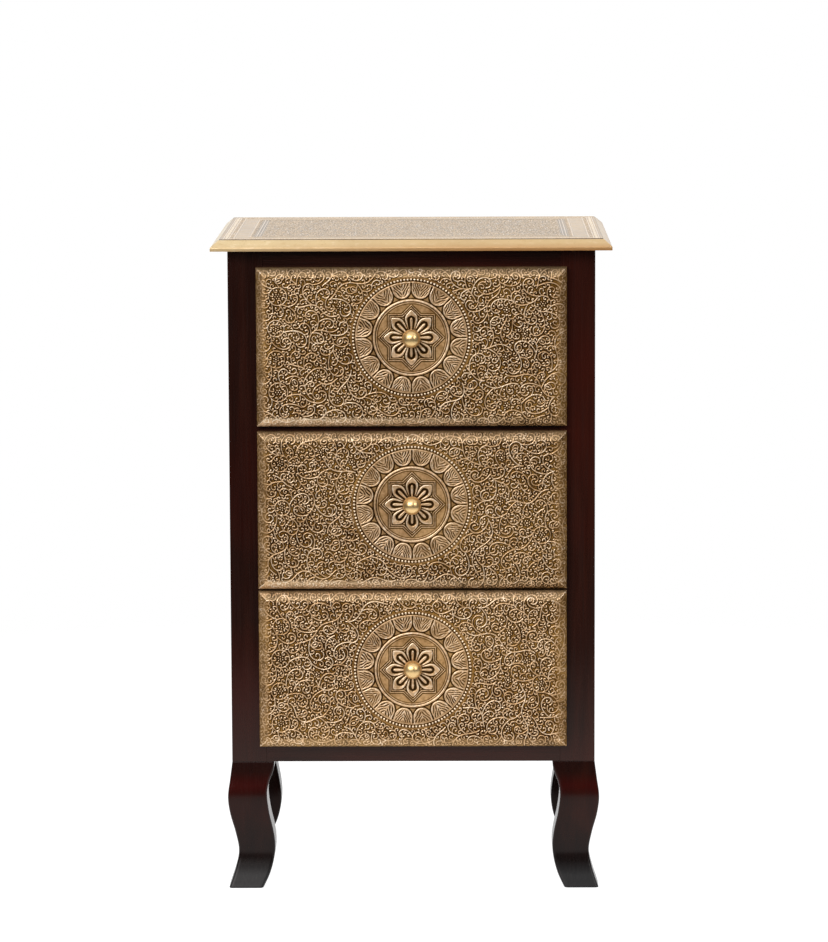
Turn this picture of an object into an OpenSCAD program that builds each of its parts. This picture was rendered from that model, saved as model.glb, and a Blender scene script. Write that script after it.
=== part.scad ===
// Small three-drawer chest on four S-curved legs.
// Brass-clad drawer fronts and top over a dark stained wooden case.
// Origin: floor level, middle of the overall depth and width. +Z up, -Y is the front.

/* [Overall] */
// Height of the legs, floor to the underside of the case
leg_h = 130.3; // [110:0.1:160]
// Width of the top
top_w = 400; // [360:1:460]
// Depth of the top
top_d = 305; // [290:1:360]

/* [Top] */
// Thickness of the top, brass included
top_t = 11.5; // [10:0.1:18]
// Overhang of the top past each side of the case
over_side = 16.5; // [8:0.5:20]
// Overhang of the top past the case's front
over_front = 17; // [8:0.5:20]
// Overhang of the top past the case's back
over_rear = 5; // [5:0.5:10]
// Width of the sloped edge, seen from above
edge_run = 9; // [6:0.5:12]
// Height of the upright lip under the slope
edge_lip = 3.7; // [3:0.1:6]
// Thickness of the embossed sheet on the flat
sheet_t = 0.6; // [0.4:0.1:1]
// Thickness of the smooth strips on the edges
strip_t = 0.8; // [0.5:0.1:1.2]

/* [Case] */
// Thickness of the side panels
side_t = 16; // [12:1:18]
// Width of the front stiles
stile_w = 35; // [30:1:40]
// Thickness of the stiles and rails
frame_t = 20; // [15:1:25]
// Thickness of the bottom board
bottom_t = 12; // [8:1:14]
// Thickness of the back panel
back_t = 6; // [4:0.5:8]
// Depth of the rebate that holds the back panel's edges
rebate = 8; // [5:1:10]

/* [Drawer fronts] */
// Width of stile left bare beside a drawer front
bare_side = 28.5; // [26:0.5:32]
// Height of rail left bare under the bottom drawer's front
bare_bottom = 16.9; // [14:0.1:24]
// Height of rail left bare over the top drawer's front
bare_top = 17.2; // [14:0.1:24]
// Gap between the bottom and the middle front
gap_lower = 2.5; // [2:0.1:8]
// Gap between the middle and the top front
gap_upper = 5.6; // [2:0.1:8]
// Height of a drawer front
front_h = 159; // [130:0.5:190]
// Thickness of a drawer front in its middle, brass included
front_t = 14; // [12:0.5:18]
// Thickness of a drawer front along its rim
rim_t = 7; // [6:0.5:9]
// Width of the curved rim
bevel_w = 9; // [6:0.5:12]
// How far a front laps over the rail behind it
lap = 6.2; // [4:0.1:7]
// Gap between a closed front and the frame behind it
front_gap = 0.4; // [0.3:0.1:1]

/* [Knobs] */
// Diameter of the ball
ball_d = 18.5; // [14:0.5:24]
// Distance from the case's front to the knob's tip
knob_out = 35; // [30:0.5:40]
// Height of the top knob above its front's lower edge
knob_h_upper = 89.8; // [60:0.1:110]
// Height of the middle knob above its front's lower edge
knob_h_middle = 86.7; // [60:0.1:110]
// Height of the bottom knob above its front's lower edge
knob_h_lower = 81.8; // [60:0.1:110]

/* [Drawer boxes] */
// Clearance on each side between a drawer box and its guide
guide_gap = 2.5; // [1:0.1:4]
// Clearance over a drawer box
head_gap = 6.6; // [4:0.1:30]
// Length of a drawer box behind its front
box_len = 260; // [180:1:260]
// Thickness of the box sides and back
box_t = 10; // [8:1:12]
// Thickness of the drawer bottom
panel_t = 4; // [3:0.5:5]
// Height of the groove above the lower edge of the sides
groove_z = 10; // [8:1:14]

/* [Runners] */
// How far the ledge of a runner reaches in under a drawer box
ledge_under = 8; // [5:0.5:10]
// Height of the guide beside the drawer
guide_h = 12; // [8:1:16]
// Clearance under a drawer box
run_gap = 0.3; // [0.2:0.1:0.8]

/* [Legs] */
// How much slimmer the rear legs are than the front ones
rear_slim = 3.5; // [0:0.5:5]

/* [Hidden] */
$fn = 48;

// colours
c_lacquer = [0.16, 0.06, 0.045];
c_raw = [0.62, 0.47, 0.31];
c_ply = [0.70, 0.57, 0.40];
c_emboss = [0.53, 0.41, 0.27];
c_gold = [0.85, 0.72, 0.47];
c_steel = [0.62, 0.62, 0.60];

// heights, from the floor up
z_lower = leg_h + bare_bottom;
z_middle = z_lower + front_h + gap_lower;
z_upper = z_middle + front_h + gap_upper;
total_h = z_upper + front_h + bare_top + top_t;

// overall planes
depth = top_d + knob_out - over_front;
y_rear = depth / 2;
y_top = y_rear - top_d;
yf = y_top + over_front;
yb = y_rear - over_rear;
case_w = top_w - 2 * over_side;
cx = case_w / 2;
z_case = leg_h;
z_top = total_h - top_t;
y_in = yf + frame_t;
x_in = cx - side_t;
x_open = cx - stile_w;
y_panel = yb - back_t;
front_w = case_w - 2 * bare_side;
box_w = 2 * (x_open - guide_gap);
box_h = front_h - 2 * lap - head_gap;
ledge_w = stile_w - side_t + guide_gap + ledge_under;

// drawer planes
y_front_back = yf - front_gap;
y_face = y_front_back - front_t;
dado = 5;
box_lift = lap + run_gap;
ball_y = yf - knob_out + ball_d / 2;

// wood screws and machine screws
screw_d = 3.6;
head_d = 7;
head_h = 2.4;
fit = 0.1;
bolt_d = 4;

// leg outline, height against offset past the case's side
LEG_OUT = [[130.3, 0], [112, 2.5], [94, 4.7], [76, 2.6], [56, -2.4], [37, -5.5], [20, -2.4], [7, 1.8], [0, 4.3]];
// leg outline, height against distance inside the case's side
LEG_IN = [[130.3, 42.7], [121, 41.6], [108, 36.8], [96, 35.1], [78, 37], [58, 41], [43, 42.6], [29, 41.4], [14, 37.3], [0, 30.5]];
// Rim of a drawer front: distance from its edge against part of the rise
RIM = [[0, 0], [0.2, 0.31], [0.45, 0.61], [0.72, 0.85], [1, 0.97], [1.3, 1]];

function catmull(p0, p1, p2, p3, t) =
  0.5 * (2 * p1 + (p2 - p0) * t + (2 * p0 - 5 * p1 + 4 * p2 - p3) * t * t + (3 * p1 - p0 - 3 * p2 + p3) * t * t * t);
function smooth_line(p, n) = [for (i = [0 : len(p) - 2]) for (k = [0 : n - 1])
  catmull(p[max(i - 1, 0)], p[i], p[i + 1], p[min(i + 2, len(p) - 1)], k / n), p[len(p) - 1]];
function leg_z(z) = z * leg_h / 130.3;

// ---------- helpers ----------

// A screw along +Z: the head's bearing face at 0, the point at length l
module screw(l) {
  translate([0, 0, -head_h]) cylinder(d = head_d, h = head_h);
  cylinder(d = screw_d, h = l - 4);
  translate([0, 0, l - 4]) cylinder(d1 = screw_d, d2 = 0.6, h = 4);
}

// The hole for that screw, with a pocket of the given depth under its head
module screw_hole(l, pocket) {
  translate([0, 0, -pocket]) cylinder(d = head_d + 0.4, h = pocket);
  translate([0, 0, -0.01]) cylinder(d = screw_d + 2 * fit, h = l + 0.4);
}

// Mirror image for the right-hand side
module side(s) { if (s > 0) mirror([1, 0, 0]) children(); else children(); }

// Solid whose outline is one polygon from the front and another from the side
module crossed(px, py, w, d) {
  intersection() {
    translate([0, d, 0]) rotate([90, 0, 0]) linear_extrude(2 * d) polygon(px);
    translate([-w, 0, 0]) rotate([90, 0, 90]) linear_extrude(2 * w) polygon(py);
  }
}

// ---------- top ----------

// The top's form: lower edge at z_low, lip up to z_lip, then sloped up to the flat at z_flat
module top_form(inset, z_low, z_lip, z_flat) {
  hw = top_w / 2;
  fx = hw - edge_run;
  crossed([[-hw + inset, z_low], [hw - inset, z_low], [hw - inset, z_lip], [fx, z_flat], [-fx, z_flat], [-hw + inset, z_lip]],
          [[y_top + inset, z_low], [y_rear - inset, z_low], [y_rear - inset, z_lip], [y_rear - edge_run, z_flat], [y_top + edge_run, z_flat], [y_top + inset, z_lip]],
          top_w, top_d);
}
module core_form(down) top_form(strip_t, z_top - down, z_top + edge_lip - 0.4, total_h - sheet_t);
top_screw_y = [y_in + 40, y_panel - 60];
top_screw_x = x_in - ledge_w / 2;
top_screw_l = 20;
module at_top_screws() {
  for (s = [-1, 1]) for (y = top_screw_y) translate([s * top_screw_x, y, z_top - 12.5]) children();
}
module top_board() color(c_lacquer) difference() {
  core_form(0);
  at_top_screws() screw_hole(top_screw_l, 0);
}
module top_brass_sheet() color(c_emboss)
  translate([-top_w / 2 + edge_run, y_top + edge_run, total_h - sheet_t])
    cube([top_w - 2 * edge_run, top_d - 2 * edge_run, sheet_t]);

// One smooth strip of the edge, cut off at the mitres by a polygon seen from above
module edge_strip(poly) intersection() {
  difference() {
    top_form(0, z_top, z_top + edge_lip, total_h);
    core_form(1);
    translate([-top_w / 2 + edge_run, y_top + edge_run, total_h - 2 * sheet_t])
      cube([top_w - 2 * edge_run, top_d - 2 * edge_run, 10]);
  }
  translate([0, 0, z_top - 1]) linear_extrude(top_t + 2) polygon(poly);
}
k = 40;
hx = top_w / 2;
module top_edge_front() color(c_gold) edge_strip([[-hx, y_top], [hx, y_top], [hx - k, y_top + k], [-hx + k, y_top + k]]);
module top_edge_rear() color(c_gold) edge_strip([[hx, y_rear], [-hx, y_rear], [-hx + k, y_rear - k], [hx - k, y_rear - k]]);
module top_edge_left() color(c_gold) edge_strip([[-hx, y_rear], [-hx, y_top], [-hx + k, y_top + k], [-hx + k, y_rear - k]]);
module top_edge_right() color(c_gold) edge_strip([[hx, y_top], [hx, y_rear], [hx - k, y_rear - k], [hx - k, y_top + k]]);
module top_screws() color(c_steel) at_top_screws() screw(top_screw_l);

// ---------- case ----------

module stile(s) color(c_lacquer) side(s)
  translate([-cx, yf, z_case]) cube([stile_w, frame_t, z_top - z_case]);
module stile_left() stile(-1);
module stile_right() stile(1);

module rail(z0, z1) color(c_lacquer)
  translate([-x_open, yf, z0]) cube([2 * x_open, frame_t, z1 - z0]);
module rail_top() rail(z_upper + front_h - lap, z_top);
module rail_divider_upper() rail(z_middle + front_h - lap, z_upper + lap);
module rail_divider_lower() rail(z_lower + front_h - lap, z_middle + lap);
module rail_bottom() rail(z_case, z_lower + lap);

module side_panel(s) color(c_lacquer) difference() {
  side(s) translate([-cx, y_in, z_case]) cube([side_t, yb - y_in, z_top - z_case]);
  side(s) translate([-cx + side_t - rebate, y_panel, z_case - 1]) cube([rebate + 1, back_t + 1, z_top - z_case + 2]);
  at_runner_screws() screw_hole(runner_screw_l, 0);
  at_nails() nail_hole();
}
module side_panel_left() side_panel(-1);
module side_panel_right() side_panel(1);

module bottom_board() color(c_lacquer) difference() {
  translate([-x_in, y_in, z_case]) cube([2 * x_in, y_panel - y_in, bottom_t]);
  at_leg_screws() screw_hole(leg_screw_l, 6);
  at_nails() nail_hole();
}
module rear_stretcher() color(c_raw) difference() {
  translate([-x_in, y_panel - frame_t, z_upper + front_h - lap]) cube([2 * x_in, frame_t, z_top - (z_upper + front_h - lap)]);
  at_nails() nail_hole();
}
module back_panel() color(c_lacquer) difference() {
  translate([-x_in - rebate, y_panel, z_case]) cube([2 * (x_in + rebate), back_t, z_top - z_case]);
  at_nails() nail_hole();
}

// nails through the back panel: along both sides, the bottom board and the stretcher
nail_l = 18;
module at_nails() {
  for (s = [-1, 1]) for (i = [0 : 4]) translate([s * (x_in + rebate / 2), yb, z_case + 45 + i * (z_top - z_case - 90) / 4]) rotate([90, 0, 0]) children();
  for (i = [-1 : 1]) {
    translate([i * 110, yb, z_case + bottom_t / 2]) rotate([90, 0, 0]) children();
    translate([i * 110, yb, z_top - 11.5]) rotate([90, 0, 0]) children();
  }
}
module nail_hole() translate([0, 0, -1]) cylinder(d = 1.6 + 2 * fit, h = nail_l + 1.4, $fn = 24);
module back_panel_nails() color(c_steel) at_nails() {
  translate([0, 0, -0.8]) cylinder(d = 4.2, h = 0.8, $fn = 24);
  cylinder(d = 1.6, h = nail_l, $fn = 24);
}

// ---------- kickers and runners ----------

module kicker(s) color(c_raw) difference() {
  side(s) translate([-x_in, y_in, z_upper + front_h - lap])
    cube([ledge_w, y_panel - frame_t - y_in, z_top - (z_upper + front_h - lap)]);
  at_top_screws() screw_hole(top_screw_l, 14);
}
module kicker_left() kicker(-1);
module kicker_right() kicker(1);

runner_screw_y = [y_in + 45, y_panel - 45];
runner_screw_l = 24;
// [underside, upper face] of each pair of runners
RUN = [[z_middle + front_h - lap, z_upper + lap], [z_lower + front_h - lap, z_middle + lap], [z_case + bottom_t, z_lower + lap]];
module at_runner_screws() {
  for (s = [-1, 1]) for (r = RUN) for (y = runner_screw_y)
    translate([s * (x_in - ledge_w + 15), y, (r[0] + r[1]) / 2]) rotate([0, s * 90, 0]) children();
}
module runner(s, r) color(c_raw) difference() {
  side(s) translate([-x_in, y_in, r[0]]) {
    cube([ledge_w, y_panel - y_in, r[1] - r[0]]);
    translate([0, 0, r[1] - r[0] - 0.01]) cube([x_in - x_open, y_panel - y_in, guide_h + 0.01]);
  }
  at_runner_screws() screw_hole(runner_screw_l, 16);
}
module runner_upper_left() runner(-1, RUN[0]);
module runner_upper_right() runner(1, RUN[0]);
module runner_middle_left() runner(-1, RUN[1]);
module runner_middle_right() runner(1, RUN[1]);
module runner_lower_left() runner(-1, RUN[2]);
module runner_lower_right() runner(1, RUN[2]);
module runner_screws() color(c_steel) at_runner_screws() screw(runner_screw_l);

// ---------- legs ----------

leg_screw_l = 26;
// two screws to a leg, pointing down from inside the case
module at_leg_screws() {
  for (s = [-1, 1]) {
    for (p = [[21.5, 14], [29.5, 5.5]])
      translate([s * (cx - p[0]), y_in + p[1], z_case + bottom_t - 4]) rotate([180, 0, 0]) children();
    for (p = [[21.5, 8], [29.5, 18]])
      translate([s * (cx - p[0]), y_panel - p[1], z_case + bottom_t - 4]) rotate([180, 0, 0]) children();
  }
}
module leg(s, rear) {
  slim = rear ? rear_slim : 0;
  out = smooth_line(LEG_OUT, 3);
  inn = smooth_line(LEG_IN, 3);
  n = len(inn) - 1;
  prof_x = concat([for (p = out) [-cx - p[1], leg_z(p[0])]], [for (i = [n : -1 : 0]) [-cx + inn[i][1] - slim, leg_z(inn[i][0])]]);
  prof_y = rear
    ? concat([for (p = out) [yb + p[1], leg_z(p[0])]], [for (i = [n : -1 : 0]) [yb - inn[i][1] + slim, leg_z(inn[i][0])]])
    : concat([for (p = out) [yf - p[1], leg_z(p[0])]], [for (i = [n : -1 : 0]) [yf + inn[i][1], leg_z(inn[i][0])]]);
  color(c_lacquer) difference() {
    side(s) crossed(prof_x, prof_y, top_w, top_d);
    at_leg_screws() screw_hole(leg_screw_l, 0);
  }
}
module leg_front_left() leg(-1, false);
module leg_front_right() leg(1, false);
module leg_rear_left() leg(-1, true);
module leg_rear_right() leg(1, true);
module leg_screws() color(c_steel) at_leg_screws() screw(leg_screw_l);

// ---------- drawers; every one is drawn from the lower edge of its front, z ----------

// Front outline solid, all its faces moved in by m, the back moved out by e
module front_solid(z, m, e) {
  hw = front_w / 2 - m;
  rise = front_t - rim_t;
  px = concat([[-hw, y_front_back + e]], [for (r = RIM) [-hw + r[0] * bevel_w, y_front_back - rim_t - rise * r[1] + m]],
              [for (i = [len(RIM) - 1 : -1 : 0]) [hw - RIM[i][0] * bevel_w, y_front_back - rim_t - rise * RIM[i][1] + m]], [[hw, y_front_back + e]]);
  pz = concat([[y_front_back + e, z + m]], [for (r = RIM) [y_front_back - rim_t - rise * r[1] + m, z + m + r[0] * bevel_w]],
              [for (i = [len(RIM) - 1 : -1 : 0]) [y_front_back - rim_t - rise * RIM[i][1] + m, z + front_h - m - RIM[i][0] * bevel_w]], [[y_front_back + e, z + front_h - m]]);
  intersection() {
    translate([0, 0, z - 5]) linear_extrude(front_h + 10) polygon(px);
    translate([-front_w, 0, 0]) rotate([90, 0, 90]) linear_extrude(2 * front_w) polygon(pz);
  }
}
module knob_hole(z, kh, d) translate([0, y_front_back + 5, z + kh]) rotate([90, 0, 0]) cylinder(d = d, h = 40);

module d_front(z, kh) color(c_lacquer) difference() {
  front_solid(z, sheet_t, 0);
  knob_hole(z, kh, bolt_d + 2 * fit);
  // housings for the sides and a groove for the bottom
  for (s = [-1, 1]) translate([s * (box_w / 2 - box_t / 2) - box_t / 2, y_front_back - dado, z + box_lift]) cube([box_t, dado + 1, box_h]);
  translate([-box_w / 2 + box_t - 1, y_front_back - 4, z + box_lift + groove_z]) cube([box_w - 2 * box_t + 2, 5, panel_t + 0.2]);
}
module d_brass(z, kh) color(c_emboss) difference() {
  front_solid(z, 0, 0);
  front_solid(z, sheet_t, 1);
  knob_hole(z, kh, bolt_d + 2 * fit);
}
module d_side(z, s) color(c_raw) side(s) difference() {
  translate([-box_w / 2, y_front_back - dado, z + box_lift]) cube([box_t, box_len + dado, box_h]);
  translate([-box_w / 2 + box_t - 4, y_front_back - dado - 1, z + box_lift + groove_z]) cube([5, box_len + dado + 2, panel_t + 0.2]);
}
module d_back(z) color(c_raw)
  translate([-box_w / 2 + box_t, y_front_back + box_len - box_t, z + box_lift + groove_z + panel_t]) cube([box_w - 2 * box_t, box_t, box_h - groove_z - panel_t - 6]);
module d_bottom(z) color(c_ply)
  translate([-box_w / 2 + box_t - 3.6, y_front_back - 3.8, z + box_lift + groove_z]) cube([box_w - 2 * box_t + 7.2, box_len + 3.8, panel_t]);
module d_knob(z, kh) color(c_gold) difference() {
  translate([0, 0, z + kh]) union() {
    translate([0, ball_y, 0]) sphere(d = ball_d);
    translate([0, y_face, 0]) rotate([90, 0, 0]) cylinder(d = 8.4, h = y_face - ball_y);
  }
  translate([0, y_face + 1, z + kh]) rotate([90, 0, 0]) cylinder(d = bolt_d + 2 * fit, h = 11);
}
module d_knob_screw(z, kh) color(c_steel) translate([0, y_front_back, z + kh]) {
  rotate([-90, 0, 0]) cylinder(d = 8, h = 2.6);
  rotate([90, 0, 0]) cylinder(d = bolt_d, h = front_t + 9.5);
}

module drawer_upper_front() d_front(z_upper, knob_h_upper);
module drawer_upper_brass() d_brass(z_upper, knob_h_upper);
module drawer_upper_side_left() d_side(z_upper, -1);
module drawer_upper_side_right() d_side(z_upper, 1);
module drawer_upper_back() d_back(z_upper);
module drawer_upper_bottom() d_bottom(z_upper);
module drawer_upper_knob() d_knob(z_upper, knob_h_upper);
module drawer_upper_knob_screw() d_knob_screw(z_upper, knob_h_upper);
module drawer_middle_front() d_front(z_middle, knob_h_middle);
module drawer_middle_brass() d_brass(z_middle, knob_h_middle);
module drawer_middle_side_left() d_side(z_middle, -1);
module drawer_middle_side_right() d_side(z_middle, 1);
module drawer_middle_back() d_back(z_middle);
module drawer_middle_bottom() d_bottom(z_middle);
module drawer_middle_knob() d_knob(z_middle, knob_h_middle);
module drawer_middle_knob_screw() d_knob_screw(z_middle, knob_h_middle);
module drawer_lower_front() d_front(z_lower, knob_h_lower);
module drawer_lower_brass() d_brass(z_lower, knob_h_lower);
module drawer_lower_side_left() d_side(z_lower, -1);
module drawer_lower_side_right() d_side(z_lower, 1);
module drawer_lower_back() d_back(z_lower);
module drawer_lower_bottom() d_bottom(z_lower);
module drawer_lower_knob() d_knob(z_lower, knob_h_lower);
module drawer_lower_knob_screw() d_knob_screw(z_lower, knob_h_lower);

top_board();
top_brass_sheet();
top_edge_front();
top_edge_rear();
top_edge_left();
top_edge_right();
top_screws();
stile_left();
stile_right();
rail_top();
rail_divider_upper();
rail_divider_lower();
rail_bottom();
side_panel_left();
side_panel_right();
back_panel();
back_panel_nails();
bottom_board();
rear_stretcher();
kicker_left();
kicker_right();
runner_upper_left();
runner_upper_right();
runner_middle_left();
runner_middle_right();
runner_lower_left();
runner_lower_right();
runner_screws();
leg_front_left();
leg_front_right();
leg_rear_left();
leg_rear_right();
leg_screws();
drawer_upper_front();
drawer_upper_brass();
drawer_upper_side_left();
drawer_upper_side_right();
drawer_upper_back();
drawer_upper_bottom();
drawer_upper_knob();
drawer_upper_knob_screw();
drawer_middle_front();
drawer_middle_brass();
drawer_middle_side_left();
drawer_middle_side_right();
drawer_middle_back();
drawer_middle_bottom();
drawer_middle_knob();
drawer_middle_knob_screw();
drawer_lower_front();
drawer_lower_brass();
drawer_lower_side_left();
drawer_lower_side_right();
drawer_lower_back();
drawer_lower_bottom();
drawer_lower_knob();
drawer_lower_knob_screw();
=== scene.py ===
import math

import bmesh
import bpy
import numpy as np
from mathutils import Matrix, Vector


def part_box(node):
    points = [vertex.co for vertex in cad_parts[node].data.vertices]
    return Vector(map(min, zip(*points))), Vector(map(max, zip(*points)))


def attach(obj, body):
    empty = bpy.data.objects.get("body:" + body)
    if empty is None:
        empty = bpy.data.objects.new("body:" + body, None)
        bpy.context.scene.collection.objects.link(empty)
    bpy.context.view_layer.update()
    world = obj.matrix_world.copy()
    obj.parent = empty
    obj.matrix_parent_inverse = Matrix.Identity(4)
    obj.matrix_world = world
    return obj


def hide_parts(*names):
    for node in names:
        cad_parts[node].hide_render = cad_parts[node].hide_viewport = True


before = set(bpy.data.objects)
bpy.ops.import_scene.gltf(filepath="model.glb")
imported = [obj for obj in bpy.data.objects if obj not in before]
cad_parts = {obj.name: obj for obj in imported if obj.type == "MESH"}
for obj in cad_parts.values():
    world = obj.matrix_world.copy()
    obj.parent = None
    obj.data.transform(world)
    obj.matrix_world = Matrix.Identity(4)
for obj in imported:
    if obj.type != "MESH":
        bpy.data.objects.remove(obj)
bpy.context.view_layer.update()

MM = 0.001


# ---------------------------------------------------------------- sizes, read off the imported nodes, in mm

def box(node):
    lo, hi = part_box(node)
    return np.array(lo) * 1000, np.array(hi) * 1000


stile_lo, stile_hi = box("stile_left")
panel_lo, panel_hi = box("side_panel_left")
top_lo, _ = box("top_edge_front")
_, top_hi = box("top_edge_rear")
CX = -stile_lo[0]                     # half the case's width
YF = stile_lo[1]                      # the case's front
YB = panel_hi[1]                      # the case's back
Z_CASE = stile_lo[2]
Z_TOP = stile_hi[2]
Z_MAX = top_hi[2]
FRONT_GAP, FRONT_T, RIM_T, BEVEL, SHEET = 0.4, 14.0, 7.0, 9.0, 0.6
Y_BACK = YF - FRONT_GAP               # back plane of the drawer fronts
Y_FACE = Y_BACK - FRONT_T             # their brass face
FRONT_W = 2 * box("drawer_upper_brass")[1][0]
FRONT_H = box("drawer_upper_brass")[1][2] - box("drawer_upper_brass")[0][2]
RIM = [[0, 0], [0.2, 0.31], [0.45, 0.61], [0.72, 0.85], [1, 0.97], [1.3, 1]]
LEG_OUT = [[130.3, 0], [112, 2.5], [94, 4.7], [76, 2.6], [56, -2.4], [37, -5.5], [20, -2.4], [7, 1.8], [0, 4.3]]
LEG_IN = [[130.3, 42.7], [121, 41.6], [108, 36.8], [96, 35.1], [78, 37], [58, 41], [43, 42.6], [29, 41.4], [14, 37.3], [0, 30.5]]
REAR_SLIM = 3.5
MEDALLION = {"upper": 89.5, "middle": 86.2, "lower": 79.5}      # height of its middle over the front's lower edge
KNOB_R = 9.25


# ---------------------------------------------------------------- mesh helpers

def mesh_piece(name, co, faces, body, material, node=None, smooth=True, sharp=None):
    """An object from vertices in mm and lists of faces, riding on body and standing for node."""
    me = bpy.data.meshes.new(name)
    co = np.asarray(co, np.float64) * MM
    me.vertices.add(len(co))
    me.vertices.foreach_set("co", co.astype(np.float32).ravel())
    loops = np.concatenate([np.asarray(f, np.int32).ravel() for f in faces])
    sizes = np.concatenate([np.full(len(f), np.asarray(f).shape[1], np.int32) if isinstance(f, np.ndarray) else np.array([len(f)], np.int32) for f in faces])
    starts = np.concatenate([[0], np.cumsum(sizes)[:-1]]).astype(np.int32)
    me.loops.add(len(loops))
    me.loops.foreach_set("vertex_index", loops)
    me.polygons.add(len(sizes))
    me.polygons.foreach_set("loop_start", starts)
    me.polygons.foreach_set("use_smooth", np.full(len(sizes), smooth))
    me.update(calc_edges=True)
    me.validate()
    if sharp is not None:
        me.set_sharp_from_angle(angle=math.radians(sharp))
    o = bpy.data.objects.new(name, me)
    bpy.context.scene.collection.objects.link(o)
    me.materials.append(material)
    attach(o, body)
    if node:
        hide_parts(*([node] if isinstance(node, str) else node))
    return o


def ring_faces(rows, n, closed=True, flip=False):
    """Quads between rows of n points each, numbered row by row."""
    i = np.arange(n if closed else n - 1)
    j = (i + 1) % n
    out = []
    for r in range(rows - 1):
        a, b = r * n, (r + 1) * n
        q = np.stack([a + i, a + j, b + j, b + i], 1)
        out.append(q[:, ::-1] if flip else q)
    return np.concatenate(out)


def board(name, lo, hi, body, material, node, r=0.7, seg=3, sides=None):
    """A board with eased edges."""
    bm = bmesh.new()
    bmesh.ops.create_cube(bm, size=1.0)
    lo, hi = np.array(lo, float), np.array(hi, float)
    for v in bm.verts:
        v.co = Vector(((lo + hi) / 2 + np.array(v.co) * (hi - lo)) * MM)
    bmesh.ops.bevel(bm, geom=bm.edges[:], offset=r * MM, offset_type="OFFSET", segments=seg, profile=0.5, affect="EDGES", clamp_overlap=True)
    bmesh.ops.recalc_face_normals(bm, faces=bm.faces[:])
    me = bpy.data.meshes.new(name)
    bm.to_mesh(me)
    bm.free()
    me.polygons.foreach_set("use_smooth", np.ones(len(me.polygons), bool))
    o = bpy.data.objects.new(name, me)
    bpy.context.scene.collection.objects.link(o)
    me.materials.append(material)
    w = o.modifiers.new("even_normals", "WEIGHTED_NORMAL")
    w.keep_sharp = True
    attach(o, body)
    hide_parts(node)
    return o


def catmull(p, n):
    """The points of p joined by the same smooth line as in the CAD source, n steps a span."""
    p = np.array(p, float)
    out = []
    for i in range(len(p) - 1):
        p0, p1, p2, p3 = p[max(i - 1, 0)], p[i], p[i + 1], p[min(i + 2, len(p) - 1)]
        for k in range(n):
            t = k / n
            out.append(0.5 * (2 * p1 + (p2 - p0) * t + (2 * p0 - 5 * p1 + 4 * p2 - p3) * t * t + (3 * p1 - p0 - 3 * p2 + p3) * t ** 3))
    out.append(p[-1])
    return np.array(out)


# ---------------------------------------------------------------- node helpers

class Tree:
    """A material or world under construction."""

    def __init__(self, tree):
        self.t = tree

    def node(self, kind, inputs=None, **props):
        n = self.t.nodes.new("ShaderNode" + kind)
        for k, v in props.items():
            setattr(n, k, v)
        for k, v in (inputs or {}).items():
            self.set(n.inputs[k], v)
        return n

    def set(self, socket, v):
        if isinstance(v, bpy.types.NodeSocket):
            self.t.links.new(v, socket)
        else:
            socket.default_value = v

    def coords(self, scale, offset=(0, 0, 0)):
        """The piece's own coordinates in metres, times scale."""
        c = self.node("TexCoord").outputs["Object"]
        return self.node("Mapping", {"Vector": c, "Scale": scale, "Location": offset}).outputs["Vector"]

    def noise(self, vector, scale=1.0, detail=4.0, rough=0.5, distortion=0.0):
        return self.node("TexNoise", {"Vector": vector, "Scale": scale, "Detail": detail, "Roughness": rough, "Distortion": distortion}).outputs["Fac"]

    def math(self, op, a, b=0.0, c=0.0, clamp=False):
        n = self.node("Math", operation=op, use_clamp=clamp)
        for s, v in zip(n.inputs, (a, b, c)):
            self.set(s, v)
        return n.outputs[0]

    def remap(self, v, a, b, c, d, clamp=True):
        return self.node("MapRange", {"Value": v, "From Min": a, "From Max": b, "To Min": c, "To Max": d}, clamp=clamp).outputs["Result"]

    def mix(self, fac, a, b, mode="MIX"):
        n = self.node("Mix", data_type="RGBA", blend_type=mode)
        self.set(n.inputs[0], fac)
        self.set(n.inputs[6], a)
        self.set(n.inputs[7], b)
        return n.outputs[2]

    def ramp(self, v, stops):
        n = self.node("ValToRGB", {"Fac": v})
        e = n.color_ramp.elements
        while len(e) < len(stops):
            e.new(0.5)
        for el, (p, c) in zip(e, stops):
            el.position, el.color = p, c
        return n.outputs["Color"]

    def attribute(self, name):
        return self.node("Attribute", attribute_name=name).outputs["Fac"]

    def bump(self, height, strength, distance, normal=None):
        n = self.node("Bump", {"Height": height, "Strength": strength, "Distance": distance})
        if normal is not None:
            self.set(n.inputs["Normal"], normal)
        return n.outputs["Normal"]


def lin(r, g, b):
    """An sRGB colour, 0 to 255, as linear RGBA."""
    f = lambda v: (v / 255) / 12.92 if v / 255 <= 0.04045 else (((v / 255) + 0.055) / 1.055) ** 2.4
    return (f(r), f(g), f(b), 1.0)


def material(name, **sockets):
    m = bpy.data.materials.new(name)
    m.use_nodes = True
    m.node_tree.nodes.clear()
    t = Tree(m.node_tree)
    out = t.node("OutputMaterial")
    b = t.node("BsdfPrincipled")
    m.node_tree.links.new(b.outputs[0], out.inputs[0])
    for k, v in sockets.items():
        b.inputs[k.replace("_", " ")].default_value = v
    return m, t, b


# ---------------------------------------------------------------- materials

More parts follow.
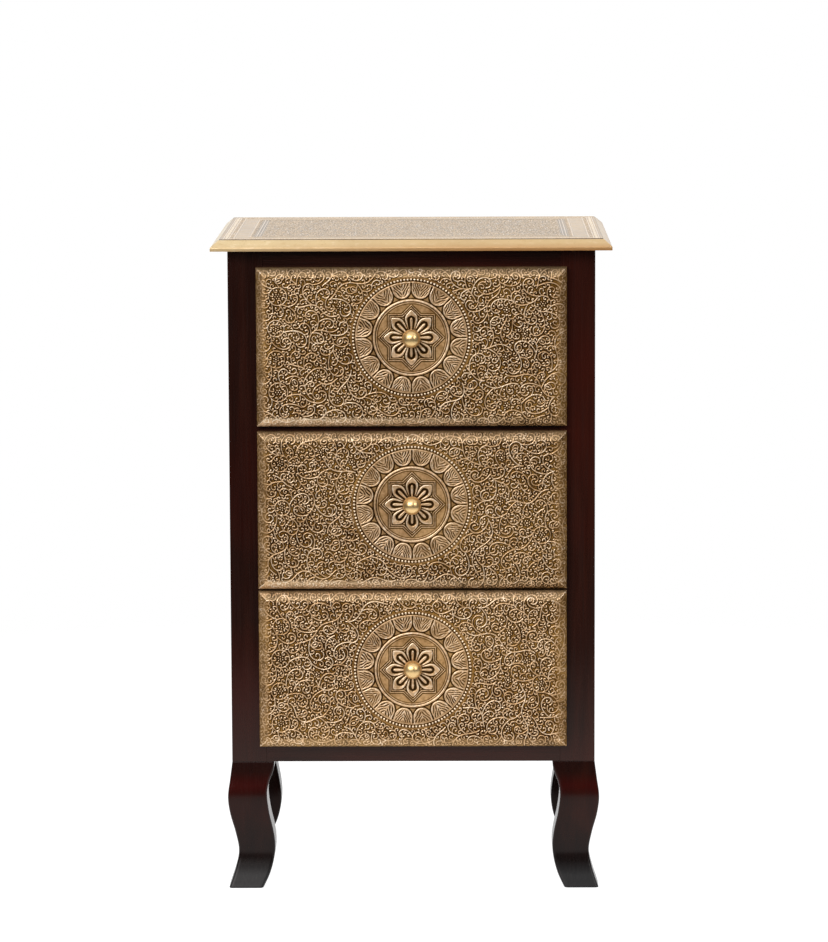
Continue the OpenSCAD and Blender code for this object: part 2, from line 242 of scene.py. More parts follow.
def lacquer(name, axis, seed, lift=1.0, coat=0.32, blur=0.05, under=0.25, foot=False):
    """Dark red-brown stained wood under a clear glossy lacquer, grain along axis; lift makes lighter or darker copies,
    and foot adds painted reflections and shade by height on the legs.
    """
    m, t, b = material(name, IOR=1.5)
    b.inputs["Specular IOR Level"].default_value = under
    b.inputs["Specular Tint"].default_value = (1.0, 0.72, 0.62, 1)
    b.inputs["Coat Weight"].default_value = coat
    b.inputs["Coat Roughness"].default_value = blur
    lift *= 0.50
    s = [55.0, 55.0, 55.0]
    s[axis] = 3.2
    f = [520.0, 520.0, 520.0]
    f[axis] = 14.0
    off = (seed * 3.1, seed * 1.7, seed * 2.3)
    bands = t.noise(t.coords(s, off), 1.0, 5.0, 0.55, 0.6)
    pores = t.noise(t.coords(f, off), 1.0, 2.0, 0.6)
    clouds = t.noise(t.coords((7, 7, 7), off), 1.0, 2.0)
    base = t.ramp(bands, [(0.30, (0.013 * lift, 0.0028 * lift, 0.0016 * lift, 1)), (0.52, (0.027 * lift, 0.0058 * lift, 0.0031 * lift, 1)), (0.72, (0.050 * lift, 0.0108 * lift, 0.0054 * lift, 1))])
    dark = t.mix(t.remap(pores, 0.56, 0.72, 0.0, 0.55), base, (0.004, 0.001, 0.0008, 1))
    tint = t.mix(t.remap(clouds, 0.40, 0.66, 0.0, 0.60), dark, (0.058 * lift, 0.0065 * lift, 0.0032 * lift, 1))
    # Painted light on the legs by height: a red painted reflection at the knee, painted shade just under the case, a
    # dark painted shade from mid-leg down, and a grey painted reflection on the foot's upturned toe.
    if foot:
        z = t.node("SeparateXYZ", {"Vector": t.coords((1, 1, 1))}).outputs[2]
        knee_red_reflection = t.math("MULTIPLY", t.remap(z, 0.092, 0.104, 0.0, 1.0), t.remap(z, 0.107, 0.120, 1.0, 0.0))
        tint = t.mix(t.math("MULTIPLY", knee_red_reflection, t.remap(clouds, 0.35, 0.6, 0.35, 0.8)), tint, (0.036, 0.0012, 0.0008, 1))
        tint = t.mix(t.remap(z, 0.112, 0.128, 0.0, 0.5), tint, (0.008, 0.002, 0.0016, 1))
        tint = t.mix(t.remap(z, 0.026, 0.075, 0.90, 0.0), tint, (0.0035, 0.0026, 0.0026, 1))
        tint = t.mix(t.remap(z, 0.012, 0.026, 0.90, 0.0), tint, (0.0205, 0.0208, 0.0215, 1))
    t.set(b.inputs["Base Color"], tint)
    t.set(b.inputs["Roughness"], t.remap(pores, 0.3, 0.7, 0.20, 0.32))
    peel = t.noise(t.coords((240, 240, 240), off), 1.0, 2.0)
    n = t.bump(pores, 0.10, 0.0004)
    n = t.bump(peel, 0.06, 0.0004, n)
    t.set(b.inputs["Normal"], n)
    t.set(b.inputs["Coat Normal"], t.bump(peel, 0.05, 0.0004))
    return m


def raw(name, axis, seed, pale, deep):
    """Bare planed softwood."""
    m, t, b = material(name)
    b.inputs["Specular IOR Level"].default_value = 0.25
    s = [70.0, 70.0, 70.0]
    s[axis] = 2.6
    f = [700.0, 700.0, 700.0]
    f[axis] = 22.0
    off = (seed * 2.9, seed * 1.3, seed * 4.1)
    warp = t.noise(t.coords((9, 9, 9), off), 1.0, 2.0)
    rings = t.noise(t.coords(s, off), 1.0, 4.0, 0.55, 1.2)
    fibre = t.noise(t.coords(f, off), 1.0, 3.0, 0.6)
    c = t.ramp(rings, [(0.32, pale), (0.55, tuple(0.5 * (a + d) for a, d in zip(pale, deep))), (0.75, deep)])
    c = t.mix(t.remap(fibre, 0.4, 0.75, 0.0, 0.35), c, deep)
    c = t.mix(t.remap(warp, 0.35, 0.7, 0.0, 0.25), c, pale)
    t.set(b.inputs["Base Color"], c)
    t.set(b.inputs["Roughness"], t.remap(fibre, 0.3, 0.7, 0.55, 0.75))
    t.set(b.inputs["Normal"], t.bump(fibre, 0.25, 0.0004))
    return m


def embossed(name, seed, painted_light_scale=1.0, coat=0.0, gloss=0.0, pale=0.0):
    """Pressed brass sheet: worn bright ridges and beads, a dark patina beside them, tan ground. Painted light on top of
    that: glints on the ridges, a pale tint on the rims, and per copy a brightness scale and, for pale, a whitening.
    """
    m, t, b = material(name, Metallic=0.70)
    b.inputs["Specular IOR Level"].default_value = 0.12
    if not pale:
        b.inputs["Specular Tint"].default_value = (1.0, 0.82, 0.56, 1)
    b.inputs["Coat Weight"].default_value = coat
    b.inputs["Coat Roughness"].default_value = 0.25
    off = (seed * 1.9, seed * 3.7, seed * 2.1)
    tone, patina, rim = t.attribute("tone"), t.attribute("patina"), t.attribute("rim")
    large = t.noise(t.coords((11, 11, 11), off), 1.0, 3.0, 0.55)
    mid = t.noise(t.coords((70, 70, 70), off), 1.0, 3.0, 0.6)
    fine = t.noise(t.coords((900, 900, 900), off), 1.0, 3.0, 0.6)
    mottle = t.noise(t.coords((330, 330, 330), off), 1.0, 3.0, 0.6)
    worn = t.math("ADD", t.math("MULTIPLY", large, 0.6), t.math("MULTIPLY", mid, 0.4))
    ground = t.mix(t.remap(worn, 0.36, 0.62, 0.0, 1.0), lin(130, 89, 35), lin(184, 140, 72))
    # rim: a pale tint that is painted light, on the drawers' bevels (lightest on top, lighter at the left) and over the
    # top sheet.
    ground = t.mix(rim, ground, lin(210, 182, 142))
    ground = t.mix(t.remap(mottle, 0.40, 0.70, 0.0, 0.50), ground, lin(92, 59, 20))
    ridge = t.mix(t.remap(mid, 0.35, 0.65, 0.0, 1.0), lin(212, 175, 134), lin(246, 213, 176))
    c = t.mix(t.math("MULTIPLY", t.remap(tone, 0.0, 0.72, 0.0, 1.0), t.remap(mottle, 0.38, 0.64, 1.0, 0.58)), ground, ridge)
    c = t.mix(t.remap(tone, 0.72, 1.0, 0.0, 1.0), c, lin(246, 232, 208))
    # glints: painted highlights, near-white spots along the ridges.
    glint = t.noise(t.coords((250, 250, 250), (off[1], off[2], off[0])), 1.0, 2.0, 0.5)
    c = t.mix(t.math("MULTIPLY", t.remap(glint, 0.52, 0.66, 0.0, 0.88), t.remap(tone, 0.40, 0.74, 0.0, 1.0)), c, lin(250, 232, 208))
    stain = t.math("MULTIPLY", patina, t.remap(worn, 0.38, 0.64, 1.0, 0.90))
    # pale: whitening tint, lighter patina and a warmer scale for the top's copy, a painted sheen of light grazing the
    # top.
    if pale:
        c = t.mix(pale, c, lin(206, 190, 164))
    c = t.mix(stain, c, lin(50, 36, 22) if pale else lin(22, 8, 2))
    c = t.mix(t.remap(fine, 0.55, 0.8, 0.0, 0.22), c, lin(72, 42, 14))
    c = t.mix(1.0, c, ((1.06 if pale else 1.02) * painted_light_scale, (1.04 if pale else 0.985) * painted_light_scale, (0.97 if pale else 0.95) * painted_light_scale, 1), "MULTIPLY")
    t.set(b.inputs["Base Color"], c)
    r = t.math("ADD", t.remap(tone, 0.0, 1.0, 0.52 - gloss, 0.36 - gloss), t.remap(mid, 0.3, 0.7, -0.05, 0.07))
    t.set(b.inputs["Roughness"], r)
    t.set(b.inputs["Normal"], t.bump(fine, 0.18, 0.0002))
    return m


def smooth_brass(name, seed, tint, rough, metal, lip=None):
    """Satin brass with fine scuffs and faint tarnish; lip is the height under which it browns, tarnish together with
    painted shade that grows towards the right. On the edge strips, dents carry painted highlights and shade, and the
    strip darkens towards the right as painted shade.
    """
    m, t, b = material(name, Metallic=metal)
    b.inputs["Specular IOR Level"].default_value = 0.3
    b.inputs["Coat Weight"].default_value = 0.6 if lip else 0.0
    b.inputs["Coat Roughness"].default_value = 0.2
    off = (seed * 2.7, seed * 1.1, seed * 3.3)
    cloud = t.noise(t.coords((16, 16, 16), off), 1.0, 3.0)
    speck = t.noise(t.coords((420, 420, 420), off), 1.0, 3.0, 0.65)
    drag = t.noise(t.coords((60, 900, 900), off), 1.0, 2.0)
    dull = tuple(0.72 * v for v in lin(*tint)[:3]) + (1,)
    c = t.mix(t.remap(cloud, 0.35, 0.68, 0.0, 0.45), lin(*tint), dull)
    c = t.mix(t.remap(speck, 0.62, 0.78, 0.0, 0.5), c, lin(128, 92, 50))
    if lip:
        # Painted light: bright and dark patches where the strip is dented, painted highlights and painted shade.
        dent_painted_light = t.noise(t.coords((120, 240, 240), off), 1.0, 3.0, 0.6)
        c = t.mix(t.remap(dent_painted_light, 0.56, 0.70, 0.0, 0.40), c, lin(250, 232, 196))
        c = t.mix(t.remap(dent_painted_light, 0.30, 0.42, 0.34, 0.0), c, lin(196, 158, 104))
        place = t.node("SeparateXYZ", {"Vector": t.coords((1, 1, 1))}).outputs
        # Painted shade: the strip darkens towards the right, as if lit more from the left.
        c = t.mix(t.remap(place[0], -0.19, 0.02, 0.0, 0.52), c, lin(196, 158, 104))
        # Below the lip's height it browns: tarnish, with painted shade that grows towards the right.
        low = t.remap(place[2], lip - 0.0035, lip + 0.0040, 0.84, 0.0)
        c = t.mix(t.math("MULTIPLY", low, t.remap(place[0], -0.19, 0.10, 0.30, 1.0)), c, lin(178, 118, 56))
    t.set(b.inputs["Base Color"], c)
    t.set(b.inputs["Roughness"], t.math("ADD", t.remap(cloud, 0.3, 0.7, rough - 0.05, rough + 0.08), t.remap(speck, 0.55, 0.8, 0.0, 0.15)))
    n = t.bump(drag, 0.05, 0.0002)
    t.set(b.inputs["Normal"], t.bump(cloud, 0.10, 0.002, n))
    return m


def steel(name):
    m, t, b = material(name, Metallic=0.9)
    grain = t.noise(t.coords((600, 600, 600)), 1.0, 3.0)
    spots = t.noise(t.coords((90, 90, 90)), 1.0, 3.0)
    c = t.mix(t.remap(spots, 0.4, 0.7, 0.0, 0.6), lin(170, 168, 162), lin(112, 100, 86))
    t.set(b.inputs["Base Color"], c)
    t.set(b.inputs["Roughness"], t.remap(grain, 0.3, 0.7, 0.32, 0.5))
    t.set(b.inputs["Normal"], t.bump(grain, 0.1, 0.0002))
    return m


LACQ_Z = lacquer("lacquer_upright", 2, 1)
# A lighter copy of the upright lacquer for the right stile and right side panel: painted light on the right-hand side.
LACQ_Z_RIGHT_LIT = lacquer("lacquer_upright_right_painted_lighter", 2, 5, 1.3)
LACQ_X = lacquer("lacquer_across", 0, 2)
LACQ_Y = lacquer("lacquer_fore_aft", 1, 3)
LACQ_LEG = lacquer("lacquer_leg", 2, 4, 0.80, 0.26, 0.22, 0.06, True)
# A much darker copy for the rear legs: painted shade for legs that stand behind, out of the light.
LACQ_REAR_SHADED = lacquer("lacquer_leg_rear_painted_shade", 2, 6, 0.28, 0.14, 0.25, 0.05)
PINE_Y = raw("raw_wood_fore_aft", 1, 1, lin(205, 170, 122), lin(160, 118, 74))
PINE_X = raw("raw_wood_across", 0, 2, lin(200, 165, 118), lin(158, 116, 72))
PLY = raw("plywood_face", 0, 3, lin(214, 184, 140), lin(178, 142, 98))
STEEL = steel("screw_steel_grey")
GOLD = smooth_brass("brass_edge", 1, (228, 202, 154), 0.38, 0.45, (Z_TOP + 3.7) * MM)
GOLD_KNOB = smooth_brass("brass_knob", 2, (238, 202, 143), 0.30, 0.90)


# ---------------------------------------------------------------- embossed pattern

class Lines:
    """Distances from a grid's nodes to the nearest raised line, in mm, with the lines' growth rules."""

    def __init__(self, w, h, g, seed):
        self.w, self.h = w, h
        self.nx, self.nz = int(round(w / g)) + 1, int(round(h / g)) + 1
        self.gx, self.gz = w / (self.nx - 1), h / (self.nz - 1)
        self.d = np.full((self.nz, self.nx), 9.0, np.float32)
        self.b = np.full((self.nz, self.nx), 9.0, np.float32)
        self.v = np.ones((self.nz, self.nx), np.float32)
        self.rng = np.random.default_rng(seed)
        self.wear = np.random.default_rng(seed + 500)

    def grid(self):
        return np.meshgrid(np.arange(self.nx) * self.gx, np.arange(self.nz) * self.gz)

    def at(self, p):
        i = np.clip((p[..., 0] / self.gx + 0.5).astype(np.int64), 0, self.nx - 1)
        j = np.clip((p[..., 1] / self.gz + 0.5).astype(np.int64), 0, self.nz - 1)
        return self.d[j, i]

    def inside(self, p, m):
        return (p[..., 0] > m) & (p[..., 0] < self.w - m) & (p[..., 1] > m) & (p[..., 1] < self.h - m)

    def add(self, p, extra=0.0, reach=3.4, bead=False):
        """Draws the points of p, each a round dot of its own extra radius past the line's."""
        extra = np.broadcast_to(np.asarray(extra, np.float32), (len(p),))
        worn = self.wear.uniform(0.62, 1.08)
        for a in range(0, len(p), 24):
            q, e = p[a:a + 24], extra[a:a + 24]
            r = reach + float(e.max())
            lo, hi = q.min(0) - r, q.max(0) + r
            i0, j0 = max(int(lo[0] / self.gx), 0), max(int(lo[1] / self.gz), 0)
            i1, j1 = min(int(hi[0] / self.gx) + 2, self.nx), min(int(hi[1] / self.gz) + 2, self.nz)
            if i0 >= i1 or j0 >= j1:
                continue
            x = (np.arange(i0, i1) * self.gx).astype(np.float32)
            z = (np.arange(j0, j1) * self.gz).astype(np.float32)
            dx = (x[:, None] - q[None, :, 0].astype(np.float32)) ** 2
            dz = (z[:, None] - q[None, :, 1].astype(np.float32)) ** 2
            dist = np.sqrt(dz[:, None, :] + dx[None, :, :]) - e
            near = dist.min(2)
            self.v[j0:j1, i0:i1][near < self.d[j0:j1, i0:i1]] = worn
            np.minimum(self.d[j0:j1, i0:i1], near, out=self.d[j0:j1, i0:i1])
            if bead:
                np.minimum(self.b[j0:j1, i0:i1], near, out=self.b[j0:j1, i0:i1])


def run(kappa, step):
    """A path from the origin along +X that turns by kappa per mm: points and headings."""
    a = np.concatenate([[0], np.cumsum((kappa[1:] + kappa[:-1]) / 2 * step)])
    x = np.concatenate([[0], np.cumsum(np.cos((a[1:] + a[:-1]) / 2) * step)])
    z = np.concatenate([[0], np.cumsum(np.sin((a[1:] + a[:-1]) / 2) * step)])
    return np.stack([x, z], 1), a


def hook(length, k0, k1, power=1.3, step=0.35):
    n = max(int(length / step), 6)
    t = np.linspace(0, 1, n + 1)
    return run(k0 + (k1 - k0) * t ** power, length / n)


def placed(path, p, ang, flip):
    """A path set at points p with headings ang, mirrored where flip is -1."""
    c, s = np.cos(ang)[:, None], np.sin(ang)[:, None]
    x, z = path[None, :, 0], path[None, :, 1] * flip[:, None]
    return np.stack([p[:, :1] + c * x - s * z, p[:, 1:] + s * x + c * z], 2)


# Each kind of shoot: length, first and last turn per mm, clearance
SHOOTS = [
    (40.0, 0.02, 0.27, 2.7),
    (28.0, 0.03, 0.36, 2.6),
    (19.0, 0.05, 0.52, 2.45),
    (13.0, 0.08, 0.72, 2.35),
    (9.5, 0.12, 0.90, 2.2),
    (7.0, 0.18, 1.05, 2.1),
    (5.2, 0.25, 1.20, 2.0),
    (3.8, 0.30, 1.25, 1.95),
]


def ellipse(c, u, a, b, n):
    v = np.array([-u[1], u[0]])
    t = np.linspace(0, 2 * math.pi, n, endpoint=False)
    return c + np.outer(np.cos(t) * a, u) + np.outer(np.sin(t) * b, v)


def vines(field, starts, gap=1.0, margin=1.2, first=()):
    """Grows scrolling vines over the field from a few stems and from the strokes in first."""
    rng = field.rng
    strokes = list(first)
    starts += len(strokes)

    def seed_fits(tip, ang):
        u = np.array([math.cos(ang), math.sin(ang)])
        c = tip + u * 3.7
        far = np.concatenate([ellipse(c, u, 3.4, 2.4, 22), ellipse(c, u, 2.0, 1.2, 10)])
        away = (far - tip) @ u > 0.9
        return (field.at(far[away]) > 1.75).all() and field.inside(far, 1.0).all()

    def keep(p, a, width, end):
        field.add(p, np.full(len(p), width))
        strokes.append((p, a))
        tip, u = p[-1], np.array([math.cos(a[-1]), math.sin(a[-1])])
        if end == "bead":
            field.add(tip[None] + 0.15 * u[None], 0.30, bead=True)
        elif end == "seed":
            c = tip + u * 3.7
            field.add(ellipse(c, u, 3.5, 2.5, 60))
            field.add(c + np.outer(np.linspace(-1.2, 1.2, 12), u), 0.15, bead=True)

    for _ in range(starts * 12):
        if len(strokes) >= starts:
            break
        p0 = np.array([rng.uniform(0, field.w), rng.uniform(0, field.h)])
        length = rng.uniform(40, 80)
        n = int(length / 0.4)
        s = np.linspace(0, length, n)
        bend = rng.uniform(0.07, 0.12) * np.sin(2 * math.pi * s / rng.uniform(34, 62) + rng.uniform(0, 6.28))
        path, a = run(bend, length / n)
        ang = rng.uniform(0, 6.28)
        c, q = math.cos(ang), math.sin(ang)
        p = p0 + np.stack([path[:, 0] * c - path[:, 1] * q, path[:, 0] * q + path[:, 1] * c], 1)
        ok = (field.at(p) > 6.5) & field.inside(p, margin)
        bad = np.nonzero(~ok)[0]
        m = bad[0] if len(bad) else len(p)
        if m * 0.4 < 16:
            continue
        keep(p[:m], a[:m] + ang, 0.10, "bead")

    for kind, (length, k0, k1, clear) in enumerate(SHOOTS):
        clear *= gap
        i = 0
        while i < len(strokes):
            p, a = strokes[i]
            i += 1
            if len(p) < 14:
                continue
            for turn_no in range(14 if kind > 2 else 4):
                k = rng.uniform(0.88, 1.12)
                shape, turn = hook(length * k, k0 / k, k1 / k * rng.uniform(0.9, 1.08), rng.uniform(1.15, 1.6))
                idx = rng.permutation(np.arange(3, len(p) - 6))[:36]
                if not len(idx):
                    break
                flip = np.where(rng.random(len(idx)) < 0.5, 1.0, -1.0)
                ang = a[idx] + flip * rng.uniform(0.45, 0.85, len(idx))
                q = placed(shape, p[idx], ang, flip)
                first = max(int(clear * 1.25 / 0.35 / 0.565 * 0.8), 4)
                first = min(first, q.shape[1] - 3)
                tail = q[:, first:]
                fine = (field.at(tail) > clear).all(1) & field.inside(tail, margin).all(1)
                fine &= field.at(q[:, max(first // 2, 1)]) > clear * 0.35
                good = np.nonzero(fine)[0]
                if not len(good):
                    if kind > 2 and turn_no >= 3:
                        break
                    continue
                j = good[0]
                end = "bead"
                if kind in (1, 2, 3) and rng.random() < (0.45, 0.4, 0.3)[kind - 1] and seed_fits(q[j, -1], ang[j] + flip[j] * turn[-1]):
                    end = "seed"
                keep(q[j], ang[j] + flip[j] * turn, (0.08, 0.06, 0.03)[kind] if kind < 3 else 0.0, end)
    return strokes


def fill(field, least=2.45, margin=1.0):
    """Sets rosettes, small seeds, commas and dots into the bare places."""
    rng = field.rng
    for size, need in (("rosette", 5.2), ("seed", 4.1), ("ring", 3.3), ("comma", 2.9), ("dot", least)):
        for _ in range(3):
            j, i = np.nonzero(field.d[2:-2, 2:-2] > need)
            if not len(j):
                break
            order = rng.permutation(len(j))
            for k in order[:6000]:
                p = np.array([(i[k] + 2) * field.gx, (j[k] + 2) * field.gz])
                if field.at(p) <= need or not field.inside(p, margin):
                    continue
                if size == "dot":
                    field.add(p[None], 0.12, bead=True)
                elif size == "comma":
                    path, a = hook(4.2, 0.3, 1.2, 1.2)
                    q = placed(path - path.mean(0), p[None], np.array([rng.uniform(0, 6.28)]), np.array([1.0 if rng.random() < 0.5 else -1.0]))[0]
                    field.add(q)
                    field.add(q[-1:], 0.28, bead=True)
                elif size == "ring":
                    t = rng.uniform(0, 6.28)
                    field.add(ellipse(p, np.array([math.cos(t), math.sin(t)]), 1.9, 1.4, 30))
                elif size == "seed":
                    t = rng.uniform(0, 6.28)
                    u = np.array([math.cos(t), math.sin(t)])
                    field.add(ellipse(p, u, 2.9, 2.1, 50))
                    field.add(p + np.outer(np.linspace(-0.9, 0.9, 8), u), 0.1, bead=True)
                else:
                    rosette(field, p)


def rosette(field, p):
    """A small round of beads."""
    field.add(ellipse(p, np.array([math.cos(0.4), math.sin(0.4)]), 2.7, 2.7, 7), 0.15, bead=True)
    field.add(p[None], 0.5, bead=True)


def flower(field, p, r=8.8):
    """A round flower: a ring round a beaded heart. Gives the ring as a stroke for shoots to grow from."""
    ring = ellipse(p, np.array([1.0, 0.0]), r, r, int(2 * math.pi * r / 0.4))
    field.add(ring)
    turn = field.rng.uniform(0, 1)
    field.add(ellipse(p, np.array([math.cos(turn), math.sin(turn)]), 2.6, 2.3, 6), 0.15, bead=True)
    field.add(p[None], 0.2, bead=True)
    return ring, np.linspace(0, 2 * math.pi, len(ring), endpoint=False) + math.pi / 2


def rise(v, a, b):
    """0 below a, 1 above b, smooth between."""
    t = np.clip((v - a) / (b - a), 0, 1)
    return t * t * (3 - 2 * t)


class Layers:
    """Worn brightness, patina and height, laid one feature over the other."""

    def __init__(self, shape, tone, dark, h):
        self.tone, self.dark, self.h = (np.full(shape, float(v)) for v in (tone, dark, h))

    def lay(self, mask, tone, dark, h):
        for name, v in (("tone", tone), ("dark", dark), ("h", h)):
            a = getattr(self, name)
            setattr(self, name, a + (v - a) * mask)

    def line(self, dist, half, tone, dark, h, where=1.0, soft=0.5):
        self.lay((1 - rise(np.abs(dist), half - soft / 2, half + soft / 2)) * where, tone, dark, h)


def medallion(x, z):
    """The round ornament at places x, z from its middle: worn brightness, patina and height."""
    r = np.hypot(x, z)
    th = np.arctan2(z, x)
    g = Layers(r.shape, 0.10, 0.20, 0.0)

    # sixteen arches, open outward, with fans of veins
    step = 2 * math.pi / 16
    a = (th % step) - step / 2
    ax, ay = r * np.sin(a), r * np.cos(a)
    e = np.hypot(ax / 9.1, np.minimum(ay - 50.0, 0) / 10.2)
    arch = np.where(ay < 50.0, (e - 1) * 9.3, np.abs(ax) - 9.1 - (ay - 50.0) * 0.18)
    band = rise(r, 38.4, 38.9) * (1 - rise(r, 55.0, 55.4))
    which = np.floor((th % (2 * math.pi)) / step)
    g.lay(band * (1 - rise(arch, 1.25, 1.85)), 0.0, 1.0, -0.16)
    g.lay(band * rise(arch, 1.25, 2.1), 0.24, 0.10, -0.02)
    g.lay(band * (1 - rise(arch, -0.15, 0.25)), 0.34, 0.22, 0.10)
    steep = 1.35 + 0.25 * np.sin(which * 2.4)
    wave = np.cos((ay - steep * np.abs(ax) + 1.3 * np.sin(which * 4.1) + 0.5 * np.sin(ay * 0.9)) / 3.7 * 2 * math.pi)
    depth = 0.84 + 0.16 * np.sin(which * 1.9 + 0.6)
    veins = band * (1 - rise(arch, -1.5, -1.0)) * (1 - rise(r, 53.6, 54.2)) * rise(ay, 41.2, 42.6)
    g.lay(veins * rise(wave, 0.0, 0.5) * depth, 0.72, 0.0, 0.28)
    g.lay(veins * rise(-wave, -0.25, 0.25) * depth, 0.0, 1.0, -0.06)
    g.line(ax, 0.42, 0.66, 0.0, 0.28, veins * depth)
    g.line(arch + 0.62, 0.50, 0.76, 0.0, 0.42, band)

    # bead ring with a fine ring inside it
    g.line(r - 55.5, 0.40, 0.62, 0.0, 0.24)
    g.line(r - 56.5, 0.55, 0.0, 0.92, -0.14)
    g.line(r - 58.1, 1.25, 0.0, 0.85, -0.12)
    step = 2 * math.pi / 108
    t = ((th + step / 2) % step - step / 2) * 58.0
    g.lay(1 - rise(np.hypot((r - 58.1) / 1.15, t / 1.0), 0.72, 1.10), 1.0, 0.0, 0.50)
    g.line(r - 60.0, 0.45, 0.10, 0.35, -0.06)

    # rings
    g.line(r - 39.0, 0.62, 0.0, 1.0, -0.14)
    g.lay(1 - rise(r, 38.0, 38.5), 0.28, 0.0, -0.02)
    g.line(r - 37.25, 0.90, 0.70, 0.0, 0.46)
    g.line(r - 35.85, 0.52, 0.0, 1.0, -0.12)
    g.line(r - 34.95, 0.40, 0.55, 0.0, 0.16)
    g.line(r - 33.9, 0.40, 0.0, 0.80, -0.10)

    # eight-pointed star of two lines
    u, w = (x + z) * math.sqrt(0.5), (z - x) * math.sqrt(0.5)
    s = np.minimum(np.maximum(np.abs(x), np.abs(z)), np.maximum(np.abs(u), np.abs(w)))
    inner = 1 - rise(r, 33.0, 33.6)
    for k in range(3):
        g.line(s - 23.9 + 1.9 * k, 0.58, 0.0, 1.0 if k else 0.85, -0.10, inner)
        g.line(s - 22.95 + 1.9 * k, 0.38, 0.60, 0.0, 0.20, inner)
    g.lay(1 - rise(s, 18.6, 19.1), 0.18, 0.36, -0.06)

    # petals: dark outline, bright body, dark hairpin round a bright core
    step = 2 * math.pi / 8
    a = (th + step / 2) % step - step / 2
    px, py = np.abs(r * np.sin(a)), r * np.cos(a)
    w = np.interp(py, [0, 9, 11, 14, 17, 19, 21, 23, 25, 26.5, 27.6, 29.5], [0, 3.2, 4.0, 5.2, 6.0, 6.2, 5.8, 4.7, 3.1, 1.7, 0, -3.0])
    g.lay(1 - rise(px - w, 1.1, 1.6), 0.0, 1.0, -0.14)
    g.lay(1 - rise(px - w, -0.25, 0.25), 0.55, 0.0, 0.34)
    g.line(px - w + 0.7, 0.55, 0.86, 0.0, 0.38, py > 8)
    w = np.interp(py, [0, 9, 14, 18, 20, 21.2, 22.3, 23], [2.2, 2.8, 3.6, 4.2, 3.7, 2.5, 0, -3])
    g.lay(1 - rise(px - w, -0.25, 0.25), 0.0, 1.0, -0.20)
    w = np.interp(py, [0, 9, 12, 16, 18, 19, 19.6, 21], [0.4, 0.7, 1.0, 1.25, 1.1, 0.7, 0, -3])
    g.lay(1 - rise(px - w, -0.25, 0.25), 0.70, 0.0, 0.34)
    return g.h, g.tone, g.dark


def relief(d, b, worn=1.0):
    """Height, worn brightness and patina from the distances to the nearest line and to the nearest bead."""
    line, bead = 1 - rise(d, 0.14, 0.64), 1 - rise(b, 0.10, 0.58)
    tone = np.maximum(0.86 * line * worn, 0.90 * bead)
    dark = rise(d, 0.28, 0.54) * (1 - 0.84 * rise(d, 1.16, 1.80))
    h = 0.48 * np.exp(-(np.maximum(d, 0) / 0.52) ** 2) - 0.15 * dark
    return h, tone, dark


def lean(h, gx, gz):
    """How far each place faces up and a little left, from about -1.5 to 1.5."""
    hz, hx = np.gradient(h, gz, gx)
    v = 0.35 * hx - 0.94 * hz
    return np.clip(v / (v.std() + 1e-6), -1.5, 1.5)


def soften(a, n=1):
    """A small blur along both directions."""
    for _ in range(n):
        p = np.pad(a, 1, mode="edge")
        a = (p[1:-1, 1:-1] * 4 + p[:-2, 1:-1] + p[2:, 1:-1] + p[1:-1, :-2] + p[1:-1, 2:]) / 8
    return a


# ---------------------------------------------------------------- sheets with relief

def put_attribute(me, name, values):
    at = me.attributes.new(name, "FLOAT", "POINT")
    at.data.foreach_set("value", np.asarray(values, np.float32))


def shell(name, x, z, out, depth_of, ring_in, body, slot, mat, node, attrs):
    """A closed thin sheet. x, z: the grid's coordinates, not used; out: the outer surface's places [nz, nx, 3];
    ring_in: rings of places, each as long as the grid's border, leading from behind the border round to the inner
    surface's flat."""
    nz, nx = out.shape[:2]
    co = [out.reshape(-1, 3)]
    idx = np.arange(nz * nx).reshape(nz, nx)
    quads = np.stack([idx[:-1, :-1], idx[:-1, 1:], idx[1:, 1:], idx[1:, :-1]], 2).reshape(-1, 4)
    border = np.concatenate([idx[0, :-1], idx[:-1, -1], idx[-1, :0:-1], idx[:0:-1, 0]])
    n = len(border)
    faces = [quads]
    prev = border
    start = nz * nx
    for ring in ring_in:
        cur = start + np.arange(n)
        co.append(ring)
        j = (np.arange(n) + 1) % n
        faces.append(np.stack([prev, cur, cur[j], prev[j]], 1))
        prev = cur
        start += n
    faces.append(list(prev[::-1]))
    return np.concatenate(co), faces, border


print("materials ready")
GRID = 0.42


def rim_curve(t):
    pts = np.array(RIM)
    return np.interp(t, pts[:, 0], pts[:, 1])


# Round flowers and rosettes of each front: distance from its left edge and below its upper edge, and the flowers' radius
FLOWERS = {
    "upper": [(22, 28, 9.0), (20, 60, 8.2), (20, 91, 8.6), (22, 124, 9.4), (286, 36, 8.0)],
    "middle": [(23, 31, 8.4), (25, 76, 7.6), (285, 104, 8.6)],
    "lower": [(23, 35, 8.2), (22, 68, 9.0), (21, 101, 8.4), (22, 134, 9.0), (284, 94, 8.8)],
}
ROSETTES = {
    "upper": [(84, 38), (85, 84), (81, 132), (250, 42), (249, 89), (250, 138), (60, 107), (268, 66)],
    "middle": [(67, 62), (70, 108), (95, 30), (245, 26), (243, 70), (246, 118), (64, 20), (270, 92)],
    "lower": [(83, 46), (84, 94), (80, 138), (252, 42), (251, 90), (251, 140), (58, 84), (270, 70)],
}


